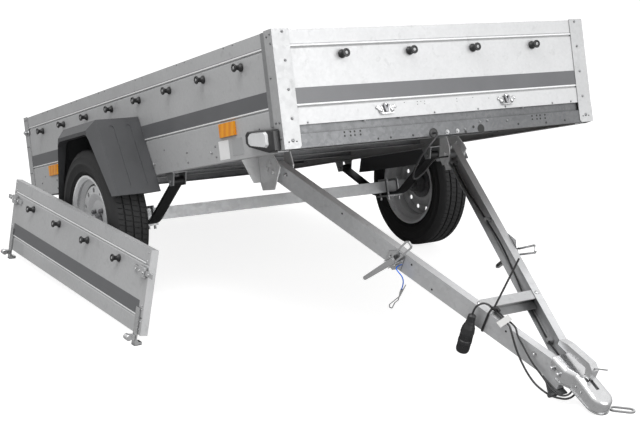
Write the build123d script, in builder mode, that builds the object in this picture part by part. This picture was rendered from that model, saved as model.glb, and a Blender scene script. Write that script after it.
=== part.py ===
"""Single-axle utility trailer, parked with its bed tipped and its tailgate taken off.

Millimetres, +Z up, +X towards the coupler, +Y to the trailer's left.
Each assembly has a frame of its own and is placed at the end:
  bed      x = 0 at the front face, z = 0 at the foot of the front corner posts
  drawbar  origin on the pivot axis, x along the arms towards the coupler
  tailgate origin at the bottom centre of its outer face, x along it, z up it, -y outwards
"""
from build123d import *
import os
from math import asin, atan2, cos, degrees, hypot, radians, sin, tan

# ---- load bed ----
box_length = 2400
box_width = 1310
post_height = 375.5
post_front_flange = 62
post_side_flange = 50
post_sheet = 3
post_corner = 12
post_hole = 4
panel_bottom = 72.8
panel_top = 372
panel_skin = 2
panel_hem = 26
panel_lip = 12
panel_flange = 20
groove_depth = 3
groove_half = 5
top_band = 56
stripe_bottom = 134.8
floor_thickness = 9
fit_gap = 0.5

# ---- chassis ----
rail_bottom = -4
rail_sheet = 3
rail_flange = 40
front_member_depth = 44
front_recess = 8
cross_height = 60
cross_flange = 40
cross_sheet = 3
cross_stations = (-500, -980, -1530, -1960)

# ---- lashing knobs ----
knob_flange = 14
knob_waist = 8
knob_length = 30
knob_rim = 5
knob_sides = 10
knob_row = 288
side_knob_count = 8
side_knob_front = 222
side_knob_rear = 243
front_knob_count = 4
front_knob_inset = 252

# ---- lamps and reflectors ----
lamp_depth = 26
lamp_round = 4
reflector_front = 360
reflector_rear = 330
reflector_z = 101
reflector_length = 108
reflector_height = 46
reflector_depth = 8
rear_lamp_inset = 30
rear_lamp_width = 220
rear_lamp_height = 72
rear_lamp_depth = 52
rear_lamp_z = 34

# ---- axle and springs ----
axle_x = -1254
axle_z = -150
axle_beam = 50
axle_wall = 4
wheel_offset = 112
spring_y = 600
spring_width = 45
spring_leaf = 12
spring_eye_x = 345
spring_eye_drop = 34
spring_eye = 16
spring_flat = 90
spring_bend = 120
spring_pin = 7
hanger_width = 62
hanger_sheet = 4
clamp_rod = 5
clamp_plate = 8

# ---- wheels ----
tyre_radius = 278
tyre_half = 77.5
bead_radius = 165
rim_half = 63
rim_sheet = 4
rim_flange_radius = 180
hub_radius = 42
stub_radius = 15
running_gap = 0.4
vent_count = 12
vent_ring = 121
vent_radius = 10
lug_count = 4
lug_ring = 50
lug_radius = 8

# ---- mudguards ----
guard_bottom_half = 304
guard_top_half = 174
guard_bottom = -68
guard_top = 228
guard_width = 207
guard_wall = 4
guard_rim_top = 50
guard_rim_side = 18
guard_chamfer = 36
guard_rib = 20
guard_rib_depth = 2
guard_rib_spread = 34
groove_end = 60
mouth_round = 45
back_rib_count = 7
back_rib_pitch = 44
back_rib = 8
back_rib_foot = 90
back_rib_depth = 6

# ---- drawbar ----
pivot_x = -500
pivot_z = -52
arm_height = 70
arm_flange = 30
arm_sheet = 3
arm_rear = -15
arm_rear_y = 409
arm_bend_x = 1140
arm_bend_y = 50
arm_end_x = 1208
boss_y = 385
boss_length = 60
boss_radius = 17
pivot_bolt = 8
cheek_sheet = 4
cheek_rear = 100
cheek_drop = 63
flange_reach = 76
crossbar_x = 856
crossbar_width = 40
crossbar_depth = 50
coupler_rear = 1150
coupler_skirt = 1190
coupler_waist = 1240
waist_half = 35
nose_radius = 38
nose_x = 1364
nose_top = 50
nose_slope_x = 1255
nose_front_top = 38
crown_round = 14
rim_z = -5
rim_bead = 3
coupler_sheet = 4
slot_front = 1308
slot_rear = 1243
slot_width = 13
lever_rear = 1116
lever_knee = 1250
lever_top = 101
lever_depth = 22
lever_width = 28
lever_sheet = 3
socket_radius = 25.2
socket_depth = 22
foot_x = 1191
foot_z = -74.4
foot_tip = 8
foot_width = 30
foot_bar_rear = 1140
foot_bar_front = 1228
foot_bar_sheet = 5
foot_bend = 5
latch_right_x = 545
latch_left_x = 598
catch_y = 257
catch_z = 102

latch_z = -5
latch_sheet = 3
pin_height = 24
ear_gap = 13.5
handle_turn = 238
handle_length = 150
handle_root = 11
handle_tip = 7
handle_depth = 10
bail_shut = 67
bail_open = 42
bail_reach_shut = 112
bail_reach_open = 146
bail_half = 10
bail_rod = 6

# ---- cables ----
cable_radius = 3.25
cable_inset = 20
clipped_runs = (5, 14)
clip_wall = 2
clip_length = 14
gland_rear = 1234
gland_length = 18
plug_radius = 21
gland_radius = 14
rope_radius = 3
tie_x = 908
tie_width = 7.6
tie_sheet = 1.4
tie_top = 51.5
tie_block = 10
tie_tail = 178
hook_length = 78
hook_width = 38
hook_rod = 6
lanyard_radius = 2
loom_radius = 3.25

# ---- tailgate ----
gate_overhang = 28
gate_return = 28
gate_lean = 9.2
gate_x = 30
gate_clearance = 6
gate_knob_inset = 245
hook_drop = 41
hook_sheet = 6
hook_inset = 33
hook_top = 134
gate_latch_reach = 50
gate_latch_length = 155
gate_latch_height = 17
gate_latch_sheet = 8
gate_latch_z = 258

# ---- parked stance, from the two points on which the drawbar rests ----
rest_x = nose_x + rim_bead
foot_reach = hypot(rest_x - foot_x, rim_z - foot_z)
drawbar_pitch = degrees(atan2(rim_z - foot_z, rest_x - foot_x) + asin(foot_tip / foot_reach))
pivot_height = rest_x * sin(radians(drawbar_pitch)) - rim_z * cos(radians(drawbar_pitch))
pivot_reach = hypot(pivot_x - axle_x, pivot_z - axle_z)
bed_tilt = degrees(asin((pivot_height - tyre_radius) / pivot_reach)
                   - atan2(pivot_z - axle_z, pivot_x - axle_x))

wall_y = box_width / 2 - post_sheet
wall_x = -post_sheet
hub_y = box_width / 2 + wheel_offset
guard_outer = box_width / 2 + guard_width
gate_width = box_width + 2 * gate_overhang


def pitched(x, z, height_x, height_z, angle, y=0):
    """Location that puts the point (x, 0, z) of a frame at (height_x, y, height_z), nose up."""
    turn = radians(angle)
    forward = Vector(cos(turn), 0, sin(turn))
    upward = Vector(-sin(turn), 0, cos(turn))
    origin = Vector(height_x, y, height_z) - forward * x - upward * z
    return Plane(origin=origin, x_dir=forward, z_dir=upward).location


bed_place = pitched(axle_x, axle_z, 0, tyre_radius, bed_tilt)
pivot_ground = (bed_place * Location((pivot_x, 0, pivot_z))).position
drawbar_place = pitched(0, 0, pivot_ground.X, pivot_ground.Z, -drawbar_pitch)

pieces = {}


def keep(name, builder, place):
    """Files a finished piece under its name, in the parked stance."""
    pieces[name] = place * builder.part


def at_y(y):
    """Plane across the trailer at y, drawn in x and z, facing the trailer's right."""
    return Plane.XZ.offset(-y)


def ribbed_profile(bottom, top, grooves):
    """Outline of a pressed wall panel as (depth, height): ribs, folded hem and foot."""
    outer = [(0, bottom)]
    inner = []
    for height in grooves:
        outer += [(0, height - groove_half), (groove_depth, height), (0, height + groove_half)]
    outer += [(0, top), (panel_hem, top), (panel_hem, top - panel_lip)]
    inner += [(panel_hem - panel_skin, top - panel_lip)]
    inner += [(panel_hem - panel_skin, top - panel_skin), (panel_skin, top - panel_skin)]
    for height in reversed(grooves):
        inner += [(panel_skin, height + groove_half)]
        inner += [(panel_skin + groove_depth, height)]
        inner += [(panel_skin, height - groove_half)]
    inner += [(panel_skin, bottom + panel_skin), (panel_flange, bottom + panel_skin)]
    inner += [(panel_flange, bottom)]
    return outer + inner


wall_grooves = (stripe_bottom - groove_half, panel_top - top_band)

# ---- side walls, front wall, floor ----
side_wall_front = wall_x - panel_hem - fit_gap
side_wall_length = box_length + side_wall_front - post_sheet
for side, hand in ((1, "left"), (-1, "right")):
    profile = [(side * (wall_y - depth), height)
               for depth, height in ribbed_profile(panel_bottom, panel_top, wall_grooves)]
    with BuildPart() as side_wall:
        with BuildSketch(Plane.YZ.offset(side_wall_front)):
            with BuildLine():
                Polyline(*profile, close=True)
            make_face()
        extrude(amount=-side_wall_length)
    keep(f"side_wall_{hand}", side_wall, bed_place)

with BuildPart() as front_wall:
    with BuildSketch(Plane.XZ):
        with BuildLine():
            Polyline(*[(wall_x - depth, height) for depth, height
                       in ribbed_profile(panel_bottom, panel_top, wall_grooves)], close=True)
        make_face()
    extrude(amount=wall_y, both=True)
keep("front_wall", front_wall, bed_place)

floor_front = wall_x - panel_skin - fit_gap
floor_rear = -box_length + post_sheet
floor_half = wall_y - panel_skin - fit_gap
floor_bottom = panel_bottom + panel_skin
with BuildPart() as floor_panel:
    with BuildSketch(Plane.XY.offset(floor_bottom)):
        with Locations(((floor_front + floor_rear) / 2, 0)):
            Rectangle(floor_front - floor_rear, 2 * floor_half)
    extrude(amount=floor_thickness)
keep("floor_panel", floor_panel, bed_place)

# ---- corner posts ----
with BuildPart() as front_posts:
    for side in (1, -1):
        with BuildSketch(Plane.XY):
            with BuildLine():
                y = side * box_width / 2
                Polyline((0, y), (0, y - side * post_front_flange),
                         (-post_sheet, y - side * post_front_flange),
                         (-post_sheet, y - side * post_sheet),
                         (-post_side_flange, y - side * post_sheet),
                         (-post_side_flange, y), close=True)
            make_face()
        extrude(amount=post_height)
    low_corners = front_posts.edges().filter_by(Axis.X).group_by(Axis.Z)[0]
    fillet(low_corners.filter_by(lambda edge: abs(edge.center().Y) < wall_y), post_corner)
    with Locations((0, box_width / 2 - post_front_flange / 2, 0),
                   (0, -box_width / 2 + post_front_flange / 2, 0)):
        with Locations(*[Location((0, across, 22 + 4 * (across == 0)), (0, 90, 0))
                         for across in (-14, 0, 14)]):
            Hole(post_hole / 2, depth=2 * post_sheet)
keep("front_posts", front_posts, bed_place)

rear_post_x = -box_length
with BuildPart() as rear_posts:
    for side in (1, -1):
        with BuildSketch(Plane.XY.offset(rail_bottom)):
            with BuildLine():
                y = side * box_width / 2
                Polyline((rear_post_x, y), (rear_post_x + post_side_flange, y),
                         (rear_post_x + post_side_flange, y - side * post_sheet),
                         (rear_post_x + post_sheet, y - side * post_sheet),
                         (rear_post_x + post_sheet, y - side * panel_hem),
                         (rear_post_x, y - side * panel_hem), close=True)
            make_face()
        extrude(amount=post_height - rail_bottom)
keep("rear_posts", rear_posts, bed_place)

# ---- chassis rails and cross members ----
rail_front = -post_side_flange
rail_rear = rear_post_x + post_sheet + rail_flange
for side, hand in ((1, "left"), (-1, "right")):
    with BuildPart() as chassis_rail:
        with BuildSketch(Plane.YZ.offset(rail_front)):
            with BuildLine():
                lip = wall_y - rail_flange
                inner = wall_y - rail_sheet
                Polyline(*[(side * y, z) for y, z in (
                    (wall_y, rail_bottom), (wall_y, panel_bottom), (lip, panel_bottom),
                    (lip, panel_bottom - rail_sheet), (inner, panel_bottom - rail_sheet),
                    (inner, rail_bottom + rail_sheet), (lip, rail_bottom + rail_sheet),
                    (lip, rail_bottom))], close=True)
            make_face()
        extrude(amount=rail_rear - rail_front)
    keep(f"chassis_rail_{hand}", chassis_rail, bed_place)

with BuildPart() as front_crossmember:
    with BuildSketch(Plane.XZ):
        with BuildLine():
            back = wall_x - rail_flange
            recess = wall_x - front_recess
            top = front_member_depth
            Polyline((wall_x, 0), (wall_x, top), (recess, top), (recess, panel_bottom),
                     (back, panel_bottom), (back, panel_bottom - rail_sheet),
                     (recess - rail_sheet, panel_bottom - rail_sheet),
                     (recess - rail_sheet, top - rail_sheet), (wall_x - rail_sheet, top - rail_sheet),
                     (wall_x - rail_sheet, rail_sheet), (back, rail_sheet), (back, 0), close=True)
        make_face()
    extrude(amount=wall_y, both=True)
keep("front_crossmember", front_crossmember, bed_place)

with BuildPart() as rear_crossmember:
    with BuildSketch(Plane.XZ):
        with BuildLine():
            back = rear_post_x + post_sheet
            lip = back + rail_flange
            Polyline((back, rail_bottom), (back, panel_bottom), (lip, panel_bottom),
                     (lip, panel_bottom - rail_sheet), (back + rail_sheet, panel_bottom - rail_sheet),
                     (back + rail_sheet, rail_bottom + rail_sheet), (lip, rail_bottom + rail_sheet),
                     (lip, rail_bottom), close=True)
        make_face()
    extrude(amount=wall_y, both=True)
keep("rear_crossmember", rear_crossmember, bed_place)

with BuildPart() as crossmembers:
    for station in cross_stations:
        with BuildSketch(Plane.XZ):
            with BuildLine():
                front = station + cross_flange / 2
                rear = station - cross_flange / 2
                low = floor_bottom - cross_height
                Polyline((rear, low), (front, low), (front, low + cross_sheet),
                         (rear + cross_sheet, low + cross_sheet),
                         (rear + cross_sheet, floor_bottom - cross_sheet),
                         (front, floor_bottom - cross_sheet), (front, floor_bottom),
                         (rear, floor_bottom), close=True)
            make_face()
        extrude(amount=wall_y - rail_flange, both=True)
keep("crossmembers", crossmembers, bed_place)


# a spool: flange on the wall, waist, outer flange
with BuildPart() as knob:
    for disc_radius, foot_height, disc_height in ((knob_flange - 1, 0, knob_rim),
                                                  (knob_waist, 0, knob_length),
                                                  (knob_flange, knob_length - knob_rim, knob_rim)):
        with BuildSketch(Plane.XY.offset(foot_height)):
            RegularPolygon(disc_radius, knob_sides)
        extrude(amount=disc_height)

side_knob_pitch = (box_length - side_knob_front - side_knob_rear) / (side_knob_count - 1)
front_knob_pitch = (box_width - 2 * front_knob_inset) / (front_knob_count - 1)
knob_spots = []
for number in range(side_knob_count):
    knob_x = -side_knob_front - number * side_knob_pitch
    knob_spots.append(Location((knob_x, wall_y, knob_row), (-90, 0, 0)))
    knob_spots.append(Location((knob_x, -wall_y, knob_row), (90, 0, 0)))
for number in range(front_knob_count):
    knob_y = (number - (front_knob_count - 1) / 2) * front_knob_pitch
    knob_spots.append(Location((wall_x, knob_y, knob_row), (0, 90, 0)))
with BuildPart() as lashing_knobs:
    with Locations(*knob_spots):
        add(knob.part)
keep("lashing_knobs", lashing_knobs, bed_place)

# ---- drawbar catches on the front wall ----
with BuildPart() as drawbar_catches:
    with Locations((wall_x, catch_y, catch_z), (wall_x, -catch_y, catch_z)):
        Box(4, 74, 30, align=(Align.MIN, Align.CENTER, Align.CENTER))
    with Locations(*[(wall_x + 4, side * catch_y + across, catch_z)
                     for side in (1, -1) for across in (-16, 16)]):
        Box(16, 6, 26, align=(Align.MIN, Align.CENTER, Align.CENTER))
keep("drawbar_catches", drawbar_catches, bed_place)

# ---- axle, springs, hangers ----
stub_root = hub_y - 60
with BuildPart() as axle:
    with BuildSketch(Plane.XZ):
        with Locations((axle_x, axle_z)):
            Rectangle(axle_beam, axle_beam)
            Rectangle(axle_beam - 2 * axle_wall, axle_beam - 2 * axle_wall, mode=Mode.SUBTRACT)
    extrude(amount=stub_root, both=True)
    for side in (1, -1):
        with BuildSketch(at_y(side * (stub_root - 30))):
            with Locations((axle_x, axle_z)):
                Circle(stub_radius)
        extrude(amount=-side * (30 + 75))
        with BuildSketch(at_y(side * (stub_root - 30))):
            with Locations((axle_x, axle_z)):
                Rectangle(axle_beam - axle_wall, axle_beam - axle_wall)
        extrude(amount=-side * 30)
keep("axle", axle, bed_place)

eye_z = rail_bottom - spring_eye_drop
seat_z = axle_z - axle_beam / 2
leaf_z = seat_z - spring_leaf / 2
with BuildPart() as leaf_springs:
    for side in (1, -1):
        with BuildSketch(at_y(side * spring_y)):
            with BuildLine():
                FilletPolyline((axle_x - spring_eye_x, eye_z), (axle_x - spring_flat, leaf_z),
                               (axle_x + spring_flat, leaf_z), (axle_x + spring_eye_x, eye_z),
                               radius=spring_bend)
            trace(line_width=spring_leaf)
            with Locations((axle_x - spring_eye_x, eye_z), (axle_x + spring_eye_x, eye_z)):
                Circle(spring_eye)
                Circle(spring_pin + running_gap, mode=Mode.SUBTRACT)
        extrude(amount=spring_width / 2, both=True)
keep("leaf_springs", leaf_springs, bed_place)

with BuildPart() as spring_hangers:
    for side in (1, -1):
        for end in (1, -1):
            eye_x = axle_x + end * spring_eye_x
            gap = spring_width / 2 + running_gap
            with Locations((eye_x, side * spring_y, rail_bottom - hanger_sheet / 2)):
                Box(hanger_width, spring_width + 4 * hanger_sheet, hanger_sheet)
            for cheek in (1, -1):
                cheek_y = side * spring_y + cheek * gap
                with BuildSketch(at_y(cheek_y)):
                    with BuildLine():
                        half = hanger_width / 2
                        low = eye_z - spring_eye
                        Polyline((eye_x - half, rail_bottom - hanger_sheet),
                                 (eye_x + half, rail_bottom - hanger_sheet),
                                 (eye_x + spring_eye, low), (eye_x - spring_eye, low), close=True)
                    make_face()
                extrude(amount=-cheek * hanger_sheet)
            with BuildSketch(at_y(side * spring_y)):
                with Locations((eye_x, eye_z)):
                    Circle(spring_pin)
            extrude(amount=gap + hanger_sheet + 6, both=True)
keep("spring_hangers", spring_hangers, bed_place)

with BuildPart() as axle_clamps:
    plate_top = seat_z - spring_leaf
    rod_top = axle_z + axle_beam / 2 + 2 * clamp_rod
    rod_half = axle_beam / 2 + clamp_rod
    for side in (1, -1):
        with Locations((axle_x, side * spring_y, plate_top - clamp_plate / 2)):
            Box(2 * rod_half + 24, spring_width + 34, clamp_plate)
        for bolt in (1, -1):
            bolt_y = side * spring_y + bolt * (spring_width / 2 + clamp_rod + 1)
            for end in (1, -1):
                with BuildSketch(Plane.XY.offset(plate_top - clamp_plate - 14)):
                    with Locations((axle_x + end * (rod_half + 0.2), bolt_y)):
                        Circle(clamp_rod)
                extrude(until=None, amount=rod_top - plate_top + clamp_plate + 14)
            with Locations((axle_x, bolt_y, rod_top - clamp_rod)):
                Box(2 * rod_half, 2 * clamp_rod, 2 * clamp_rod)
keep("axle_clamps", axle_clamps, bed_place)

# ---- mudguards ----
guard_depth = guard_width + post_sheet - fit_gap
guard_middle = (guard_depth - guard_chamfer) / 2
slope_run = guard_bottom_half - guard_top_half
slope_rise = guard_top - guard_bottom
slope_length = hypot(slope_run, slope_rise)
slope_angle = degrees(atan2(slope_rise, slope_run))
slope_half = (guard_top_half + guard_bottom_half) / 2
slope_z = (guard_top + guard_bottom) / 2
guard_outline = [(axle_x - guard_bottom_half, guard_bottom), (axle_x - guard_top_half, guard_top),
                 (axle_x + guard_top_half, guard_top), (axle_x + guard_bottom_half, guard_bottom)]
mouth_low = guard_bottom_half - guard_rim_side
mouth_high = guard_top_half - guard_rim_side
mouth_top = guard_top - guard_rim_top
mouth_outline = [(axle_x - mouth_low, guard_bottom - 1), (axle_x - mouth_high, mouth_top),
                 (axle_x + mouth_high, mouth_top), (axle_x + mouth_low, guard_bottom - 1)]
# panels with two long grooves each: middle x, middle z, groove length, slope
guard_panels = ((axle_x, guard_top, 2 * guard_top_half - groove_end, 0),
                (axle_x + slope_half, slope_z, slope_length - groove_end, -slope_angle),
                (axle_x - slope_half, slope_z, slope_length - groove_end, slope_angle))
for side, hand in ((1, "left"), (-1, "right")):
    back_y = wall_y + fit_gap
    with BuildPart() as mudguard:
        with BuildSketch(at_y(side * back_y)):
            with BuildLine():
                Polyline(*guard_outline, close=True)
            make_face()
        extrude(amount=-side * guard_depth)
        outer_face = mudguard.faces().sort_by(Axis.Y)[-1 if side > 0 else 0]
        rim_edges = outer_face.edges().filter_by(lambda edge: edge.center().Z > guard_bottom + 1)
        chamfer(rim_edges, guard_chamfer)
        with BuildSketch(at_y(side * (back_y + guard_wall))):
            with BuildLine():
                Polyline(*guard_outline, close=True)
            make_face()
            offset(amount=-guard_wall, mode=Mode.REPLACE)
            with Locations((axle_x, guard_bottom)):
                Rectangle(2 * guard_bottom_half - 2.5 * guard_wall, 4 * guard_wall)
        extrude(amount=-side * (guard_depth - guard_chamfer - guard_wall), mode=Mode.SUBTRACT)
        with BuildSketch(at_y(side * (back_y + guard_wall))) as mouth:
            with BuildLine():
                Polyline(*mouth_outline, close=True)
            make_face()
            fillet(mouth.vertices().group_by(Axis.Y)[-1], mouth_round)
        extrude(amount=-side * (guard_depth + 2), mode=Mode.SUBTRACT)
        for panel_x, panel_z, groove_length, slope in guard_panels:
            turn = radians(slope)
            along = Vector(cos(turn), 0, sin(turn))
            outward = Vector(-sin(turn), 0, cos(turn))
            middle = Vector(panel_x, side * (back_y + guard_middle), panel_z)
            with BuildSketch(Plane(origin=middle, x_dir=along, z_dir=outward)):
                with Locations((0, guard_rib_spread), (0, -guard_rib_spread)):
                    SlotOverall(groove_length, guard_rib)
            extrude(amount=-guard_rib_depth, mode=Mode.SUBTRACT)
        with Locations(*[(axle_x + (number - (back_rib_count - 1) / 2) * back_rib_pitch,
                          side * (back_y + guard_wall), guard_bottom + back_rib_foot)
                         for number in range(back_rib_count)]):
            Box(back_rib, back_rib_depth, guard_top - guard_bottom - back_rib_foot - guard_wall,
                align=(Align.CENTER, Align.MIN if side > 0 else Align.MAX, Align.MIN))
    keep(f"mudguard_{hand}", mudguard, bed_place)

# ---- lamps and reflectors ----
lens_depth = 9
# outline of the marker lamp as (distance behind the front face, height)
lamp_outline = [(22, 2), (22, 62), (30, 67), (186, 77), (198, 68), (200, 38), (186, 27), (60, -3)]
lens_outline = [(51, 22), (51, 54), (62, 64), (150, 69), (166, 59), (167, 36), (153, 26), (66, 13)]
with BuildPart() as marker_lamps:
    for side in (1, -1):
        with BuildSketch(at_y(side * (box_width / 2 + fit_gap))):
            with BuildLine():
                Polyline(*[(-x, z) for x, z in lamp_outline], close=True)
            make_face()
        extrude(amount=-side * lamp_depth)
        rim = marker_lamps.faces().sort_by(Axis.Y)[-1 if side > 0 else 0].edges()
        chamfer(rim, lamp_round)
keep("marker_lamps", marker_lamps, bed_place)

with BuildPart() as marker_lenses:
    for side in (1, -1):
        with BuildSketch(at_y(side * (box_width / 2 + fit_gap + lamp_depth))):
            with BuildLine():
                Polyline(*[(-x, z) for x, z in lens_outline], close=True)
            make_face()
        extrude(amount=-side * lens_depth, taper=20)
keep("marker_lenses", marker_lenses, bed_place)

with BuildPart() as side_reflectors:
    for side in (1, -1):
        for station in (-reflector_front, reflector_rear - box_length):
            with Locations((station, side * wall_y, reflector_z)):
                Box(reflector_length, reflector_depth, reflector_height,
                    align=(Align.CENTER, Align.MIN if side > 0 else Align.MAX, Align.CENTER))
keep("side_reflectors", side_reflectors, bed_place)

with BuildPart() as rear_lamps:
    for side in (1, -1):
        with BuildSketch(Plane.YZ.offset(rear_post_x + post_sheet)):
            with Locations((side * (box_width / 2 - rear_lamp_inset - rear_lamp_width / 2), rear_lamp_z)):
                RectangleRounded(rear_lamp_width, rear_lamp_height, 10)
        extrude(amount=-rear_lamp_depth)
keep("rear_lamps", rear_lamps, bed_place)

# ---- wheels, each about its own centre with +Y outboard ----
tyre_outline = [(bead_radius + 0.3, -54.5), (rim_flange_radius + 4, -54.5), (196, -68), (222, -tyre_half),
                (250, -72), (268, -62), (tyre_radius - 2, -54), (tyre_radius, -50)]
tread_grooves = (-32, 0, 32)
tread_groove = 3
tread_depth = 7
with BuildPart() as tyre:
    with BuildSketch(Plane.XY):
        with BuildLine():
            Polyline(*tyre_outline, *[(r, -y) for r, y in reversed(tyre_outline)], close=True)
        make_face()
        with Locations(*[(tyre_radius, across) for across in tread_grooves]):
            Rectangle(2 * tread_depth, 2 * tread_groove, mode=Mode.SUBTRACT)
    revolve(axis=Axis.Y)

seat = bead_radius - 0.3
barrel = [(rim_flange_radius, -rim_half), (rim_flange_radius, 4 - rim_half), (seat, 8 - rim_half),
          (seat, -36), (148, -22), (148, 26), (seat, 40), (seat, rim_half - 8),
          (rim_flange_radius, rim_half - 4), (rim_flange_radius, rim_half)]
inner_barrel = [(rim_flange_radius - 8, rim_half), (seat - rim_sheet, rim_half - 10),
                (seat - rim_sheet, 42), (148 - rim_sheet, 28), (148 - rim_sheet, -24),
                (seat - rim_sheet, -38), (seat - rim_sheet, 10 - rim_half),
                (rim_flange_radius - 8, -rim_half)]
disc = [(146, 4), (146, 16), (136, 31), (106, 31), (80, 20), (30, 20), (30, 15), (82, 15), (108, 26),
        (134, 26), (140, 12), (140, 4)]
with BuildPart() as rim:
    with BuildSketch(Plane.XY):
        with BuildLine():
            Polyline(*barrel, *inner_barrel, close=True)
        make_face()
        with BuildLine():
            Polyline(*disc, close=True)
        make_face()
    revolve(axis=Axis.Y)
    with BuildSketch(at_y(0)):
        with PolarLocations(vent_ring, vent_count):
            Circle(vent_radius)
        with PolarLocations(lug_ring, lug_count, start_angle=45):
            Circle(lug_radius + 2)
    extrude(amount=-60, mode=Mode.SUBTRACT)

with BuildPart() as hub:
    with BuildSketch(Plane.XY):
        with BuildLine():
            bore = stub_radius + running_gap
            Polyline((bore, -34), (bore, 40), (0, 40), (0, 52), (24, 52), (28, 46), (28, 21),
                     (29.5, 21), (29.5, 14.6), (hub_radius + 24, 14.6), (hub_radius + 24, 6),
                     (hub_radius, 6), (hub_radius - 6, -34), close=True)
        make_face()
    revolve(axis=Axis.Y)
    with BuildSketch(at_y(14.6)):
        with PolarLocations(lug_ring, lug_count, start_angle=45):
            RegularPolygon(lug_radius + 1, 6)
    extrude(amount=-18)

for side, hand in ((1, "left"), (-1, "right")):
    wheel_place = bed_place * Location((axle_x, side * hub_y, axle_z), (0, 0, 90 - 90 * side))
    keep(f"tyre_{hand}", tyre, wheel_place)
    keep(f"rim_{hand}", rim, wheel_place)
    keep(f"hub_{hand}", hub, wheel_place)

# ---- pivot brackets under the bed ----
cheek_top = floor_bottom - cross_height - pivot_z
# cheek outlines about the pivot bolt as (forward, up)
outer_cheek = [(-cheek_rear, cheek_top), (6, cheek_top), (42, 27), (50, 12), (22, -26), (-6, -cheek_drop),
               (-90, -cheek_drop + 3), (-cheek_rear, -30)]
inner_cheek = [(-20, cheek_top), (20, cheek_top), (32, 20), (22, -26), (6, -cheek_drop + 22),
               (-24, -cheek_drop + 22), (-38, -10)]
with BuildPart() as pivot_brackets:
    for side in (1, -1):
        for cheek, outline in ((1, outer_cheek), (-1, inner_cheek)):
            cheek_face = side * (boss_y + cheek * (boss_length / 2 + 1))
            with BuildSketch(at_y(cheek_face)):
                with BuildLine():
                    Polyline(*[(pivot_x + x, pivot_z + z) for x, z in outline], close=True)
                make_face()
                if cheek > 0:
                    with Locations(*[Location((pivot_x + x, pivot_z + z), 55)
                                     for x, z in ((-8, 37), (-40, 27), (-32, 12))]):
                        SlotOverall(20, 6, mode=Mode.SUBTRACT)
            extrude(amount=-side * cheek * cheek_sheet)
        flange_root = boss_y + boss_length / 2 + 1
        with BuildSketch(Plane.YZ.offset(pivot_x - cheek_rear)):
            with BuildLine():
                Polyline(*[(side * y, pivot_z + z) for y, z in (
                    (flange_root, cheek_top), (flange_root + flange_reach, cheek_top),
                    (flange_root + cheek_drop / 2, -30), (flange_root, -30))], close=True)
            make_face()
        extrude(amount=cheek_sheet)
        with BuildSketch(at_y(side * boss_y)):
            with Locations((pivot_x, pivot_z)):
                Circle(pivot_bolt)
        extrude(amount=boss_length / 2 + 1 + cheek_sheet + 8, both=True)
keep("pivot_brackets", pivot_brackets, bed_place)

# ---- drawbar arms, open towards each other ----
arm_slope = (arm_rear_y - arm_bend_y) / (arm_bend_x - arm_rear)


def web_y(x):
    """Distance of an arm's outer face from the middle plane at x along the drawbar."""
    return max(arm_rear_y - arm_slope * (x - arm_rear), arm_bend_y)


def beside_left_arm(x, z):
    """Point in the left arm's channel, where the wiring cable runs."""
    return x, web_y(x) - cable_inset / cos(atan2(arm_slope, 1)), z


for side, hand in ((1, "left"), (-1, "right")):
    with BuildPart() as drawbar_arm:
        for inset, half, mode in ((0, arm_height / 2, Mode.ADD),
                                  (arm_sheet, arm_height / 2 - arm_sheet, Mode.SUBTRACT)):
            reach = 0 if mode == Mode.ADD else 20
            with BuildSketch(Plane.XY):
                with BuildLine():
                    Polyline(*[(x, side * y) for x, y in (
                        (arm_rear - reach, arm_rear_y + reach * arm_slope - inset),
                        (arm_bend_x, arm_bend_y - inset), (arm_end_x + reach, arm_bend_y - inset),
                        (arm_end_x + reach, arm_bend_y - arm_flange - reach),
                        (arm_bend_x, arm_bend_y - arm_flange - reach),
                        (arm_rear - reach, arm_rear_y - arm_flange + reach * arm_slope - reach))],
                             close=True)
                make_face()
            extrude(amount=half, both=True, mode=mode)
        with BuildSketch(at_y(side * boss_y)):
            Circle(boss_radius)
        extrude(amount=boss_length / 2, both=True)
        with BuildSketch(at_y(side * boss_y)):
            Circle(pivot_bolt + running_gap)
        extrude(amount=boss_length / 2 + 10, both=True, mode=Mode.SUBTRACT)
    keep(f"drawbar_arm_{hand}", drawbar_arm, drawbar_place)

crossbar_front = crossbar_x + crossbar_width / 2
crossbar_rear = crossbar_x - crossbar_width / 2
crossbar_top = arm_height / 2 - arm_sheet - fit_gap
with BuildPart() as drawbar_crossbar:
    with BuildSketch(Plane.XY.offset(crossbar_top)):
        with BuildLine():
            Polyline(*[(x, hand * (web_y(x) - arm_sheet - fit_gap))
                       for x, hand in ((crossbar_rear, 1), (crossbar_front, 1),
                                       (crossbar_front, -1), (crossbar_rear, -1))], close=True)
        make_face()
    extrude(amount=-crossbar_depth)
    with Locations((crossbar_rear + arm_sheet, 0, crossbar_top - crossbar_depth / 2)):
        Box(crossbar_width, 2 * arm_rear_y, crossbar_depth - 2 * arm_sheet,
            align=(Align.MIN, Align.CENTER, Align.CENTER), mode=Mode.SUBTRACT)
keep("drawbar_crossbar", drawbar_crossbar, drawbar_place)

# ---- coupler: a pressed shell over the arm ends, with a domed nose round the ball socket ----
tail_half = arm_bend_y + coupler_sheet + fit_gap
shoulder_x = arm_end_x + coupler_sheet
nose_centre = nose_x - nose_radius


def coupler_outline(inset, rear):
    """Plan of the coupler shell, moved inwards by inset."""
    right = Polyline((rear, inset - tail_half), (shoulder_x, inset - tail_half),
                     (coupler_waist, inset - waist_half), (nose_centre, inset - nose_radius))
    ThreePointArc(right @ 1, (nose_x - inset, 0), (nose_centre, nose_radius - inset))
    left = Polyline((nose_centre, nose_radius - inset), (coupler_waist, waist_half - inset),
                    (shoulder_x, tail_half - inset), (rear, tail_half - inset))
    Line(left @ 1, right @ 0)


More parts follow.
